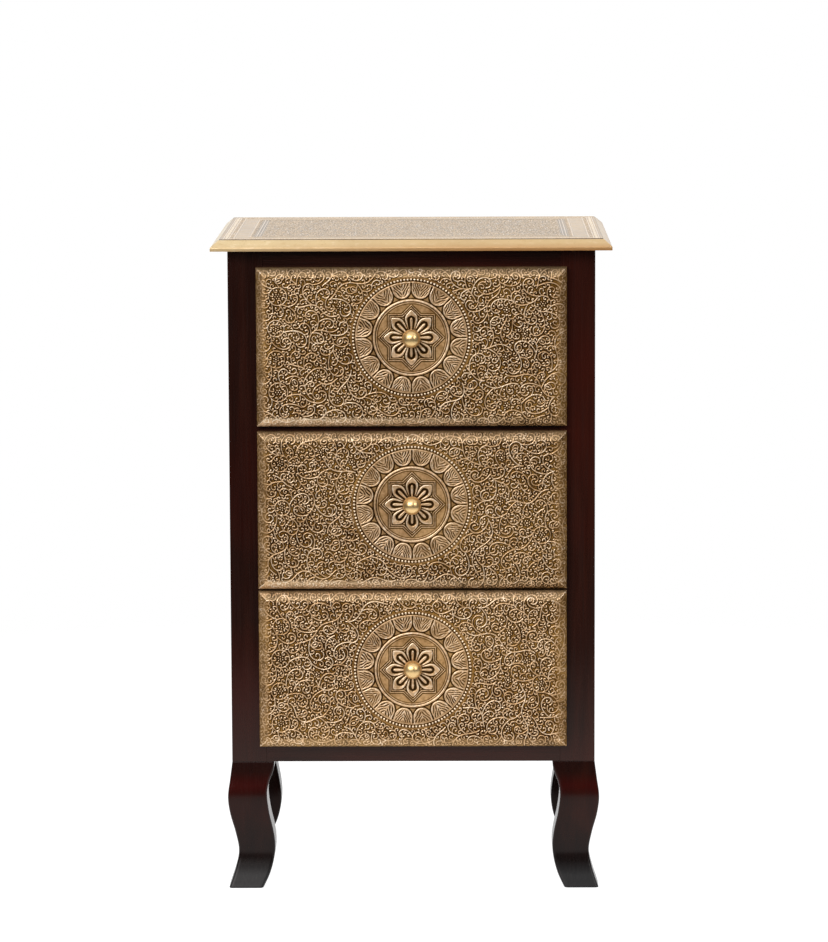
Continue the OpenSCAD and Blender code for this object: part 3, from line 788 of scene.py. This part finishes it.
def drawer_skin(which, seed, stems, mat):
    """The embossed sheet folded over a drawer front."""
    z0 = box(f"drawer_{which}_brass")[0][2]
    f = Lines(FRONT_W, FRONT_H, GRID, seed)
    X, Z = f.grid()
    mx, mz = FRONT_W / 2, MEDALLION[which]
    r = np.hypot(X - mx, Z - mz)
    f.d[r < 61.0] = 0.0
    near = (r >= 61.0) & (r < 64.0)
    f.d[near] = np.minimum(f.d[near], (r[near] - 59.0).astype(np.float32))
    rounds = [flower(f, np.array([px, FRONT_H - pz], float), pr) for px, pz, pr in FLOWERS[which]]
    for px, pz in ROSETTES[which]:
        rosette(f, np.array([px, FRONT_H - pz], float))
    vines(f, stems, 0.86, first=rounds)
    fill(f)
    d, beads = f.d.astype(float), f.b.astype(float)
    h, tone, dark = relief(np.where(r < 61.0, 9.0, d), beads, soften(f.v.astype(float)))
    mh, mt, md = medallion(X - mx, Z - mz)
    disc = r < 60.8
    h, tone, dark = np.where(disc, mh, h), np.where(disc, mt, tone), np.where(disc, md, dark)
    h = soften(h)
    # Painted light: places on the relief facing up and a little left get lighter with less patina, places facing down
    # and right darker, as if lit from the upper left.
    up = lean(soften(h, 2), f.gx, f.gz)
    dark = np.clip(dark * (1 - 0.24 * up), 0, 1)
    tone = np.clip(tone * (1 + 0.17 * up), 0, 1)

    # pillow shape with its bent rim; the pattern grows faint towards the ends and on the rim
    ex, ez = np.minimum(X, FRONT_W - X), np.minimum(Z, FRONT_H - Z)
    e = np.minimum(ex, ez)
    swell = (FRONT_T - RIM_T) * rim_curve(e / BEVEL)
    edge = np.clip(e / 1.6, 0, 1)
    rim = np.clip((BEVEL + 1.5 - e) / 3.0, 0, 1)
    ends = 1 - 0.46 * (1 - rise(X, 7.0, 14.0)) - 0.38 * (1 - rise(FRONT_W - X, 6.0, 18.0))
    quiet = (1 - 0.40 * rim) * ends
    lines = f.rng.normal(0, 1, (2, 400))
    streak = np.where(ez < ex, np.interp(X, np.arange(400) * 0.85, lines[0]), np.interp(Z, np.arange(400) * 0.85, lines[1]))
    patch = f.rng.normal(0, 1, (40, 80))
    pj, pi = Z / 4.4, X / 4.4
    j0, i0 = pj.astype(int), pi.astype(int)
    tj, ti = pj - j0, pi - i0
    patch = (patch[j0, i0] * (1 - ti) + patch[j0, i0 + 1] * ti) * (1 - tj) + (patch[j0 + 1, i0] * (1 - ti) + patch[j0 + 1, i0 + 1] * ti) * tj
    streak = rim * np.clip(0.16 * streak + 0.28 * patch, -1, 1)
    crease = np.exp(-(np.abs(ex - ez) / 0.7) ** 2) * rim
    h = (h - 0.18) * quiet * edge + 0.22 * crease * edge
    # Painted light on the lower bevels: per drawer, a painted highlight with less patina, strongest at the left and
    # fading to the right.
    under, across = (ez < ex) * (Z < FRONT_H / 2) * rim, X / FRONT_W
    glow, glow_fade, plain, plain_fade, clear, clear_fade = {
        "upper": (0.42, 0.56, 0.56, 0.86, 1.16, 0.85), "middle": (0.34, 0.50, 0.52, 0.84, 1.08, 0.85), "lower": (-0.02, 0.08, 0.16, 0.12, 0.46, 0.12)}[which]
    tone = np.clip(tone * (1 - 0.20 * rim) * (0.5 + 0.5 * ends) + 0.45 * crease + 0.55 * np.maximum(streak, 0) + (glow - glow_fade * across) * under, 0, 1)
    dark = dark * (1 - 0.8 * crease) * (1 - 0.34 * rim - (plain - plain_fade * across) * under) * ends + 0.45 * np.maximum(-streak, 0)
    # Painted shade: a dark band along each front's upper edge, under the rail and overhang above it.
    dark = np.clip(np.maximum(dark, 0.55 * (1 - rise(FRONT_H - Z, 0.9, 2.2))), 0, 1)
    # pale: a painted light tint on the bevels, strongest on the top bevel, lighter on the left side than the right, and
    # on the lower bevel fading to the right.
    pale = rim * np.where(ez < ex, np.where(Z > FRONT_H / 2, 0.78, clear - clear_fade * across ** 1.6), np.where(X < FRONT_W / 2, 0.26, 0.14))
    y = Y_BACK - RIM_T - swell - h
    out = np.stack([X - FRONT_W / 2, y, Z + z0], 2)

    nz, nx = X.shape
    bx = np.concatenate([X[0, :-1], X[:-1, -1], X[-1, :0:-1], X[:0:-1, 0]])
    bz = np.concatenate([Z[0, :-1], Z[:-1, -1], Z[-1, :0:-1], Z[:0:-1, 0]])

    def ring(inset, y_at):
        s = FRONT_W / 2 - inset
        cx = np.clip(bx - FRONT_W / 2, -s, s)
        cz = np.clip(bz, inset, FRONT_H - inset)
        return np.stack([cx, np.full(len(cx), y_at), cz + z0], 1)

    rings = [ring(0, Y_BACK - RIM_T + 0.5), ring(0, Y_BACK - 0.5), ring(0.06, Y_BACK - 0.12), ring(0.2, Y_BACK), ring(SHEET - 0.1, Y_BACK), ring(SHEET, Y_BACK - 0.2)]
    for a, b in RIM:
        rings.append(ring(SHEET + a * BEVEL, Y_BACK - RIM_T - (FRONT_T - RIM_T) * b + SHEET + 0.02))
    co, faces, border = shell(f"drawer_{which}_skin", X, Z, out, None, rings, None, None, None, None, None)
    o = mesh_piece(f"drawer_{which}_skin", co, faces, f"drawer_{which}", mat, f"drawer_{which}_brass")
    me = o.data
    extra = len(co) - nz * nx
    n = len(border)
    more = lambda a, inner: np.concatenate([a.ravel(), np.full(n * 3, inner), np.full(extra - n * 3, inner * 0.2)])
    put_attribute(me, "tone", more(tone, 0.15))
    put_attribute(me, "patina", more(dark, 0.25))
    put_attribute(me, "rim", np.concatenate([pale.ravel(), np.full(extra, 0.3)]))
    # a flat map for the surface's colours: the front first, the folds round it, the inside in a strip of its own
    uv = me.uv_layers.new(name="OFBake")
    P = co.copy()
    U, V = P[:, 0] + FRONT_W / 2, P[:, 2] - z0
    grow = np.zeros(len(co))
    for k in range(4):
        grow[nz * nx + k * n: nz * nx + (k + 1) * n] = (0.7, 7.2, 7.7, 8.2)[k]
    gx = np.where(U <= 1e-6 + 0.3, -1, np.where(U >= FRONT_W - 0.3 - 1e-6, 1, 0))
    gz = np.where(V <= 1e-6 + 0.3, -1, np.where(V >= FRONT_H - 0.3 - 1e-6, 1, 0))
    U2, V2 = U + gx * grow, V + gz * grow
    inside = np.zeros(len(co), bool)
    inside[nz * nx + 4 * n:] = True
    U2 = np.where(inside, U * 0.3 + 12, U2 + 12)
    V2 = np.where(inside, V * 0.3 + FRONT_H + 26, V2 + 12)
    side = FRONT_W + 24
    uvs = np.stack([U2 / side, V2 / side], 1)
    loops = np.zeros(len(me.loops), np.int32)
    me.loops.foreach_get("vertex_index", loops)
    uv.data.foreach_set("uv", uvs[loops].astype(np.float32).ravel())
    me.set_sharp_from_angle(angle=math.radians(75))
    return o


# The drawers' brightness scales (1.00, 0.99, 1.04) are painted light: lighter and darker copies of one brass.
BRASS = {"upper": embossed("embossed_upper", 1, 1.00), "middle": embossed("embossed_middle", 2, 0.99), "lower": embossed("embossed_lower", 3, 1.04)}
for which, seed in (("upper", 11), ("middle", 23), ("lower", 37)):
    drawer_skin(which, seed, 26, BRASS[which])
print("drawer skins ready")


def top_sheet(mat):
    """The embossed sheet on the top's flat, with its borders."""
    lo, hi = box("top_brass_sheet")
    w, dp = hi[0] - lo[0], hi[1] - lo[1]
    f = Lines(w, dp, GRID * 1.15, 71)
    X, Y = f.grid()
    e = np.minimum(np.minimum(X, w - X), np.minimum(Y, dp - Y))
    f.d[(e > 13.5) & (e < 29.0)] = 0.0
    f.d[e < 9.6] = 0.0
    keep_out = np.minimum(np.abs(e - 38.6), np.abs(e - 35.6))
    f.d = np.minimum(f.d, keep_out.astype(np.float32))
    vines(f, 60)
    fill(f)
    d, beads = f.d.astype(float), f.b.astype(float)
    d = np.where((e > 13.5) & (e < 29.0), 3.0, d)
    d = np.where(e < 9.6, 3.0, d)
    # bead line near the edge, with a fine line on each side
    along = np.where((np.minimum(X, w - X) < np.minimum(Y, dp - Y)), Y, X)
    t = (along % 3.2) - 1.6
    dots = (np.hypot(t / 1.1, (e - 6.2) / 1.2) - 1) * 1.1
    d, beads = np.minimum(d, dots), np.minimum(beads, dots)
    for at_e in (3.6, 9.0, 13.6, 29.0):
        d = np.minimum(d, np.abs(e - at_e) - 0.05)
    h, tone, dark = relief(d, beads)
    border = 1 - rise(e, 30.0, 34.0)
    dark = np.maximum(dark * (0.75 - 0.45 * border), 0.95 * (1 - rise(e, 0.2, 0.7)))
    band = np.clip(1 - np.abs(e - 21.3) / 8.0, 0, 1)
    h = soften(h)
    edge = np.clip(e / 1.5, 0, 1)
    zz = hi[2] - 0.30 + (h - 0.05) * 0.55 * edge
    zz = np.maximum(zz, hi[2] - 0.06 - 0.4 * rise(e, 0.9, 1.9))
    zz = np.minimum(zz, hi[2])
    out = np.stack([X + lo[0], Y + lo[1], zz], 2)
    bx = np.concatenate([X[0, :-1], X[:-1, -1], X[-1, :0:-1], X[:0:-1, 0]])
    by = np.concatenate([Y[0, :-1], Y[:-1, -1], Y[-1, :0:-1], Y[:0:-1, 0]])
    rings = [np.stack([bx + lo[0], by + lo[1], np.full(len(bx), lo[2])], 1)]
    co, faces, border = shell("top", X, Y, out, None, rings, None, None, None, None, None)
    o = mesh_piece("top_sheet", co, faces, "case", mat, "top_brass_sheet")
    n = len(border)
    me = o.data
    put_attribute(me, "tone", np.concatenate([tone.ravel(), np.full(n, 0.0)]))
    put_attribute(me, "patina", np.concatenate([dark.ravel() * 0.95, np.full(n, 1.0)]))
    # rim tint: pales the whole top as part of its painted grazing sheen, and the plain band a little more.
    put_attribute(me, "rim", np.concatenate([(0.16 * (band > 0) + 0.25).ravel(), np.full(n, 0.4)]))
    uv = me.uv_layers.new(name="OFBake")
    side = w + 8
    U, V = co[:, 0] - lo[0] + 4, co[:, 1] - lo[1] + 4
    V = np.where(np.arange(len(co)) >= len(co) - n, (V - 4) * 0.25 + dp + 12, V)
    U = np.where(np.arange(len(co)) >= len(co) - n, (U - 4) * 0.25 + 4, U)
    loops = np.zeros(len(me.loops), np.int32)
    me.loops.foreach_get("vertex_index", loops)
    uv.data.foreach_set("uv", (np.stack([U, V], 1) / side)[loops].astype(np.float32).ravel())
    me.set_sharp_from_angle(angle=math.radians(75))
    return o


# The top's brass copy is scaled brighter (1.22) and whitened (0.30): painted sheen of light grazing the top.
top_sheet(embossed("embossed_top", 4, 1.22, 0.66, 0.10, 0.30))
print("top sheet ready")


# ---------------------------------------------------------------- edge strips of the top

def edge_strips():
    """The folded strips along the top's edges: one outline swept along each side, cut at the mitres."""
    lip, flat = 3.7, 11.5
    on_slope = lambda p: lip + (flat - lip) * p / 9.0
    inner = [(9.0, 10.6), (0.8, lip - 0.3), (0.8, 0.0)]
    outer = [(0.35, 0.0), (0.08, 0.12), (0.0, 0.5)]
    outer += [(0.0, lip - 1.8), (0.0, lip - 0.8)]
    p0, p1, p2 = np.array([0.0, lip - 0.8]), np.array([0.0, lip]), np.array([0.9, on_slope(0.9)])
    for k in range(1, 7):                      # rounded nose between the lip and the slope
        t = k / 6
        outer.append(tuple((1 - t) ** 2 * p0 + 2 * t * (1 - t) * p1 + t * t * p2))
    outer += [(p, on_slope(p) + 0.03) for p in (3.0, 6.0, 8.0)] + [(8.5, 10.82), (8.8, 10.88), (9.0, 10.88)]
    prof = np.array(outer + inner)
    n = len(prof)
    x0, x1, y0, y1 = top_lo[0], top_hi[0], top_lo[1], top_hi[1]
    sides = {
        "front": ((x0, y0), (x1, y0), (1, 0), (0, 1)),
        "right": ((x1, y0), (x1, y1), (0, 1), (-1, 0)),
        "rear": ((x1, y1), (x0, y1), (-1, 0), (0, -1)),
        "left": ((x0, y1), (x0, y0), (0, -1), (1, 0)),
    }
    for side, (a, b, along, inward) in sides.items():
        a, b, along, inward = map(lambda v: np.array(v, float), (a, b, along, inward))
        length = np.abs((b - a) @ along)
        rows = 41
        rng = np.random.default_rng(len(side) * 7)
        co = []
        for k in range(rows):
            t = k / (rows - 1)
            for p, q in prof:
                s = p + t * (length - 2 * p)
                wave = 0.05 * math.sin(s / 23.0 + len(side)) + 0.04 * math.sin(s / 9.1 + 2 * len(side))
                dq = -abs(wave) if 1.0 < p < 8.4 and q > lip + 0.9 else 0.0
                xy = a + along * s + inward * p
                co.append((xy[0], xy[1], Z_TOP + q + dq))
        faces = [ring_faces(rows, n)]
        faces.append(list(range(n))[::-1])
        faces.append([(rows - 1) * n + k for k in range(n)])
        o = mesh_piece(f"top_strip_{side}", co, faces, "case", GOLD, f"top_edge_{side}", sharp=40)
        bm = bmesh.new()
        bm.from_mesh(o.data)
        bmesh.ops.recalc_face_normals(bm, faces=bm.faces[:])
        bm.to_mesh(o.data)
        bm.free()


edge_strips()


# ---------------------------------------------------------------- legs

def legs():
    out = catmull(LEG_OUT, 16)
    inn = catmull(LEG_IN, 16)
    k = Z_CASE / 130.3
    o_at = lambda z: np.interp(z / k, out[::-1, 0], out[::-1, 1])
    i_at = lambda z: np.interp(z / k, inn[::-1, 0], inn[::-1, 1])
    zs = np.concatenate([[0.0, 0.0, 0.25, 0.8], np.arange(2.0, Z_CASE - 2.5, 1.6), [Z_CASE - 1.6, Z_CASE - 0.5, Z_CASE - 0.15, Z_CASE, Z_CASE]])
    ins = np.zeros(len(zs))
    ins[0], ins[1], ins[2], ins[-1], ins[-2], ins[-3] = 1.2, 0.6, 0.15, 0.6, 0.35, 0.1
    for rear in (False, True):
        for s in (-1, 1):
            slim = REAR_SLIM if rear else 0.0
            rings = []
            for z, inset in zip(zs, ins):
                o_, i_ = float(o_at(z)), float(i_at(z)) - slim
                xa, xb = -CX - o_ + inset, -CX + i_ - inset
                if rear:
                    ya, yb_ = YB - i_ + inset, YB + o_ - inset
                else:
                    ya, yb_ = YF - o_ + inset, YF + i_ - inset
                up = min(max((Z_CASE - z) / 9.0, 0), 1)
                r = 0.7 + 2.4 * up
                pts = []
                corners = [(xa + r, ya + r, 180), (xb - r, ya + r, 270), (xb - r, yb_ - r, 0), (xa + r, yb_ - r, 90)]
                for cx_, cy_, start in corners:
                    for j in range(7):
                        ang = math.radians(start + 90 * j / 6)
                        pts.append((cx_ + r * math.cos(ang), cy_ + r * math.sin(ang), z))
                # points along the flats, so that shading stays even
                full = []
                for c in range(4):
                    full += pts[c * 7:(c + 1) * 7]
                    p, q = np.array(pts[c * 7 + 6]), np.array(pts[((c + 1) * 7) % 28])
                    full += [tuple(p + (q - p) * t) for t in (0.02, 0.25, 0.5, 0.75, 0.98)]
                rings.append(full)
            co = np.array(rings)
            n = co.shape[1]
            if s > 0:
                co = co.copy()
                co[:, :, 0] *= -1
            faces = [ring_faces(len(rings), n, flip=s > 0)]
            a, b = list(range(n)), [(len(rings) - 1) * n + j for j in range(n)]
            faces.append(a[::-1] if s < 0 else a)
            faces.append(b if s < 0 else b[::-1])
            tag = ("rear_" if rear else "front_") + ("left" if s < 0 else "right")
            mesh_piece("cabriole_" + tag, co.reshape(-1, 3), faces, "case", LACQ_REAR_SHADED if rear else LACQ_LEG, "leg_" + tag, sharp=50)


legs()


# ---------------------------------------------------------------- case and drawer boxes

def plain_board(node, mat, body="case", r=0.7):
    lo, hi = box(node)
    return board(node + "_eased", lo, hi, body, mat, node, r)


plain_board("stile_left", LACQ_Z, r=0.35)
plain_board("stile_right", LACQ_Z_RIGHT_LIT, r=0.35)
for n in ("rail_top", "rail_divider_upper", "rail_divider_lower", "rail_bottom"):
    plain_board(n, LACQ_X, r=0.25)
for which in ("upper", "middle", "lower"):
    body = f"drawer_{which}"
    plain_board(f"{body}_side_left", PINE_Y, body, 0.8)
    plain_board(f"{body}_side_right", PINE_Y, body, 0.8)
    plain_board(f"{body}_back", PINE_X, body, 0.6)
    plain_board(f"{body}_bottom", PLY, body, 0.3)


def side_board(s, mat):
    """Side panel with the rebate for the back panel."""
    node = "side_panel_left" if s < 0 else "side_panel_right"
    lo, hi = box(node)
    blo, bhi = box("back_panel")
    x_out = CX
    x_reb, x_in_ = bhi[0], CX - 16.0
    e = 0.7
    prof = [(x_out, lo[1] + 0.5), (x_out - 0.15, lo[1] + 0.15), (x_out - 0.5, lo[1]), (x_in_ + 0.4, lo[1]), (x_in_, lo[1] + 0.4),
            (x_in_, blo[1]), (x_reb, blo[1]), (x_reb, hi[1] - 0.3), (x_reb + 0.3, hi[1]), (x_out - e, hi[1]), (x_out - 0.2, hi[1] - 0.2), (x_out, hi[1] - e)]
    prof = np.array(prof)[::-1]
    zs = [lo[2], lo[2] + 0.15, lo[2] + 0.5, (lo[2] + hi[2]) / 2, hi[2] - 0.5, hi[2] - 0.15, hi[2]]
    ins = [0.5, 0.15, 0, 0, 0, 0.15, 0.5]
    c = prof.mean(0)
    n = len(prof)
    rings = []
    for z, i in zip(zs, ins):
        p = prof.copy()
        p[:, 0] -= np.sign(p[:, 0] - (x_out + x_in_) / 2) * np.where(np.abs(p[:, 0] - x_reb) < 0.01, 0, i)
        p[:, 1] -= np.where(p[:, 1] < lo[1] + 1, -i, np.where(p[:, 1] > hi[1] - 1, i, 0))
        rings.append(np.column_stack([p, np.full(n, z)]))
    co = np.array(rings)
    if s < 0:
        co[:, :, 0] *= -1
    faces = [ring_faces(len(zs), n)]
    faces.append(list(range(n))[::-1])
    faces.append([(len(zs) - 1) * n + j for j in range(n)])
    o = mesh_piece(node + "_eased", co.reshape(-1, 3), faces, "case", mat, node, sharp=35)
    bm = bmesh.new()
    bm.from_mesh(o.data)
    bmesh.ops.recalc_face_normals(bm, faces=bm.faces[:])
    bm.to_mesh(o.data)
    bm.free()
    even = o.modifiers.new("even_normals", "WEIGHTED_NORMAL")
    even.keep_sharp = True


side_board(-1, LACQ_Z)
side_board(1, LACQ_Z_RIGHT_LIT)


# ---------------------------------------------------------------- knobs

def knob(which):
    node = f"drawer_{which}_knob"
    lo, hi = box(node)
    zc = (lo[2] + hi[2]) / 2
    tip = lo[1]
    cy = tip + KNOB_R
    prof = []
    # from the tip round the ball, then a short neck with fillets to a low foot on the face
    neck = 4.2
    a_end = math.pi - math.asin((neck + 0.5) / KNOB_R)
    for a in np.linspace(0, a_end, 40):
        prof.append((KNOB_R * math.sin(a), cy - KNOB_R * math.cos(a)))
    y_foot = Y_FACE + 0.25
    y_ball = prof[-1][1]
    for t in np.linspace(0, 1, 10)[1:]:
        y = y_ball + (y_foot - y_ball) * t
        waist = neck + 0.5 * (1 - math.sin(math.pi * min(t * 1.0, 1)))
        prof.append((waist, y))
    prof.append((0.0, y_foot))
    n = 72
    th = np.arange(n) * 2 * math.pi / n
    rows = [(p[0] * np.cos(th), np.full(n, p[1]), p[0] * np.sin(th) + zc) for p in prof[1:-1]]
    co = np.concatenate([np.stack(r, 1) for r in rows])
    first, last = len(co), len(co) + 1
    co = np.concatenate([co, [[0, prof[0][1], zc], [0, y_foot, zc]]])
    j = (np.arange(n) + 1) % n
    m = (len(rows) - 1) * n
    faces = [ring_faces(len(rows), n, flip=True), np.stack([np.full(n, first), np.arange(n), j], 1), np.stack([np.full(n, last), m + j, m + np.arange(n)], 1)]
    o = mesh_piece(f"{node}_turned", co, faces, f"drawer_{which}", GOLD_KNOB, node, sharp=60)
    bm = bmesh.new()
    bm.from_mesh(o.data)
    bmesh.ops.recalc_face_normals(bm, faces=bm.faces[:])
    bm.to_mesh(o.data)
    bm.free()


for which in ("upper", "middle", "lower"):
    knob(which)


# ---------------------------------------------------------------- carried-over nodes

def paint(node, mat):
    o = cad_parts[node]
    for s in o.material_slots:
        s.material = mat


for node in ("back_panel", "side_panel_left", "side_panel_right"):
    paint(node, LACQ_Z)
paint("bottom_board", LACQ_X)
paint("top_board", LACQ_X)
for which in ("upper", "middle", "lower"):
    paint(f"drawer_{which}_front", LACQ_X)
    paint(f"drawer_{which}_knob_screw", STEEL)
    for side in ("left", "right"):
        paint(f"runner_{which}_{side}", PINE_Y)
paint("kicker_left", PINE_Y)
paint("kicker_right", PINE_Y)
paint("rear_stretcher", PINE_X)
for node in ("back_panel_nails", "top_screws", "runner_screws", "leg_screws"):
    paint(node, STEEL)


# ---------------------------------------------------------------- floor, light, camera

def floor():
    n, rings = 96, 12
    th = np.arange(n) * 2 * math.pi / n
    co = [[0, 0, -0.4]]
    for k in range(1, rings + 1):
        r = 4000.0 * (k / rings) ** 1.5
        co += [[r * math.cos(t), r * math.sin(t), -0.4] for t in th]
    me = bpy.data.meshes.new("studio_floor")
    faces = [(0, 1 + j, 1 + (j + 1) % n) for j in range(n)]
    for k in range(rings - 1):
        a, b = 1 + k * n, 1 + (k + 1) * n
        faces += [(a + j, b + j, b + (j + 1) % n, a + (j + 1) % n) for j in range(n)]
    me.from_pydata([tuple(v * MM for v in c) for c in co], [], faces)
    o = bpy.data.objects.new("studio_floor", me)
    bpy.context.scene.collection.objects.link(o)
    m = bpy.data.materials.new("studio_floor_white")
    m.use_nodes = True
    m.node_tree.nodes.clear()
    t = Tree(m.node_tree)
    out = t.node("OutputMaterial")
    diff = t.node("BsdfDiffuse", {"Color": (0.30, 0.30, 0.30, 1)})
    glow = t.node("Emission", {"Color": (1, 1, 1, 1), "Strength": 0.93})
    lit = t.node("AddShader")
    m.node_tree.links.new(diff.outputs[0], lit.inputs[0])
    m.node_tree.links.new(glow.outputs[0], lit.inputs[1])
    clear = t.node("BsdfTransparent")
    p = t.node("TexCoord").outputs["Object"]
    sep = t.node("SeparateXYZ", {"Vector": p})
    rr = t.math("SQRT", t.math("ADD", t.math("POWER", sep.outputs[0], 2.0), t.math("POWER", sep.outputs[1], 2.0)))
    fac = t.remap(rr, 0.40, 1.50, 0.0, 1.0)
    mixer = t.node("MixShader")
    t.set(mixer.inputs[0], fac)
    m.node_tree.links.new(lit.outputs[0], mixer.inputs[1])
    m.node_tree.links.new(clear.outputs[0], mixer.inputs[2])
    m.node_tree.links.new(mixer.outputs[0], out.inputs[0])
    me.materials.append(m)


floor()

world = bpy.data.worlds.new("studio")
bpy.context.scene.world = world
world.use_nodes = True
world.node_tree.nodes.clear()
wt = Tree(world.node_tree)
w_out = wt.node("OutputWorld")
direction = wt.node("SeparateXYZ", {"Vector": wt.node("TexCoord").outputs["Generated"]})
behind = wt.remap(direction.outputs[1], 0.0, 0.6, 0.05, 0.95)
above = wt.remap(direction.outputs[2], 0.35, 0.80, 0.0, 1.0)
glow = wt.math("MAXIMUM", behind, above)
soft = wt.node("Background", {"Color": (1, 1, 1, 1), "Strength": glow})
plain = wt.node("Background", {"Color": (1, 1, 1, 1), "Strength": 1.0})
w_mix = wt.node("MixShader", {0: wt.node("LightPath").outputs["Is Camera Ray"]})
world.node_tree.links.new(soft.outputs[0], w_mix.inputs[1])
world.node_tree.links.new(plain.outputs[0], w_mix.inputs[2])
world.node_tree.links.new(w_mix.outputs[0], w_out.inputs[0])


def softbox(name, at, aim, size, power, tint=(1, 1, 1)):
    l = bpy.data.lights.new(name, "AREA")
    l.shape = "RECTANGLE"
    l.size, l.size_y = size
    l.energy = power
    l.color = tint
    o = bpy.data.objects.new(name, l)
    bpy.context.scene.collection.objects.link(o)
    o.location = at
    o.rotation_mode = "QUATERNION"
    o.rotation_quaternion = (Vector(aim) - Vector(at)).to_track_quat("-Z", "Y")
    return o


softbox("front_left", (-2.3, -2.6, 2.1), (0, 0, 0.35), (1.4, 1.8), 46)
softbox("front_right", (2.4, -2.4, 1.9), (0, 0, 0.3), (1.2, 1.6), 28)
softbox("front_above", (-0.7, -3.3, 2.8), (0, 0, 0.3), (2.2, 1.3), 24)
softbox("front_wall", (-1.5, -4.9, 2.7), (0, 0, 0.2), (2.4, 3.0), 72)

cam = bpy.data.cameras.new("camera")
cam.sensor_fit = "AUTO"
cam.sensor_width = 36.0
cam.lens = 165.06
cam.clip_start, cam.clip_end = 0.05, 200.0
cam.dof.use_dof = False
cam_o = bpy.data.objects.new("camera", cam)
bpy.context.scene.collection.objects.link(cam_o)
yaw, pitch, roll = -0.011, 0.1353, -0.0042
sy, cy_, sp, cp = math.sin(yaw), math.cos(yaw), math.sin(pitch), math.cos(pitch)
fwd = np.array([sy * cp, cy_ * cp, -sp])
right = np.array([cy_, -sy, 0.0])
up = np.cross(right, fwd)
r2 = math.cos(roll) * right + math.sin(roll) * up
u2 = -math.sin(roll) * right + math.cos(roll) * up
M = Matrix(((r2[0], u2[0], -fwd[0], 0.04913), (r2[1], u2[1], -fwd[1], -4.4214), (r2[2], u2[2], -fwd[2], 1.0116), (0, 0, 0, 1)))
cam_o.matrix_world = M
bpy.context.scene.camera = cam_o

vs = bpy.context.scene.view_settings
vs.view_transform = "Standard"
vs.look = "None"
vs.exposure = 0.0
vs.gamma = 1.0
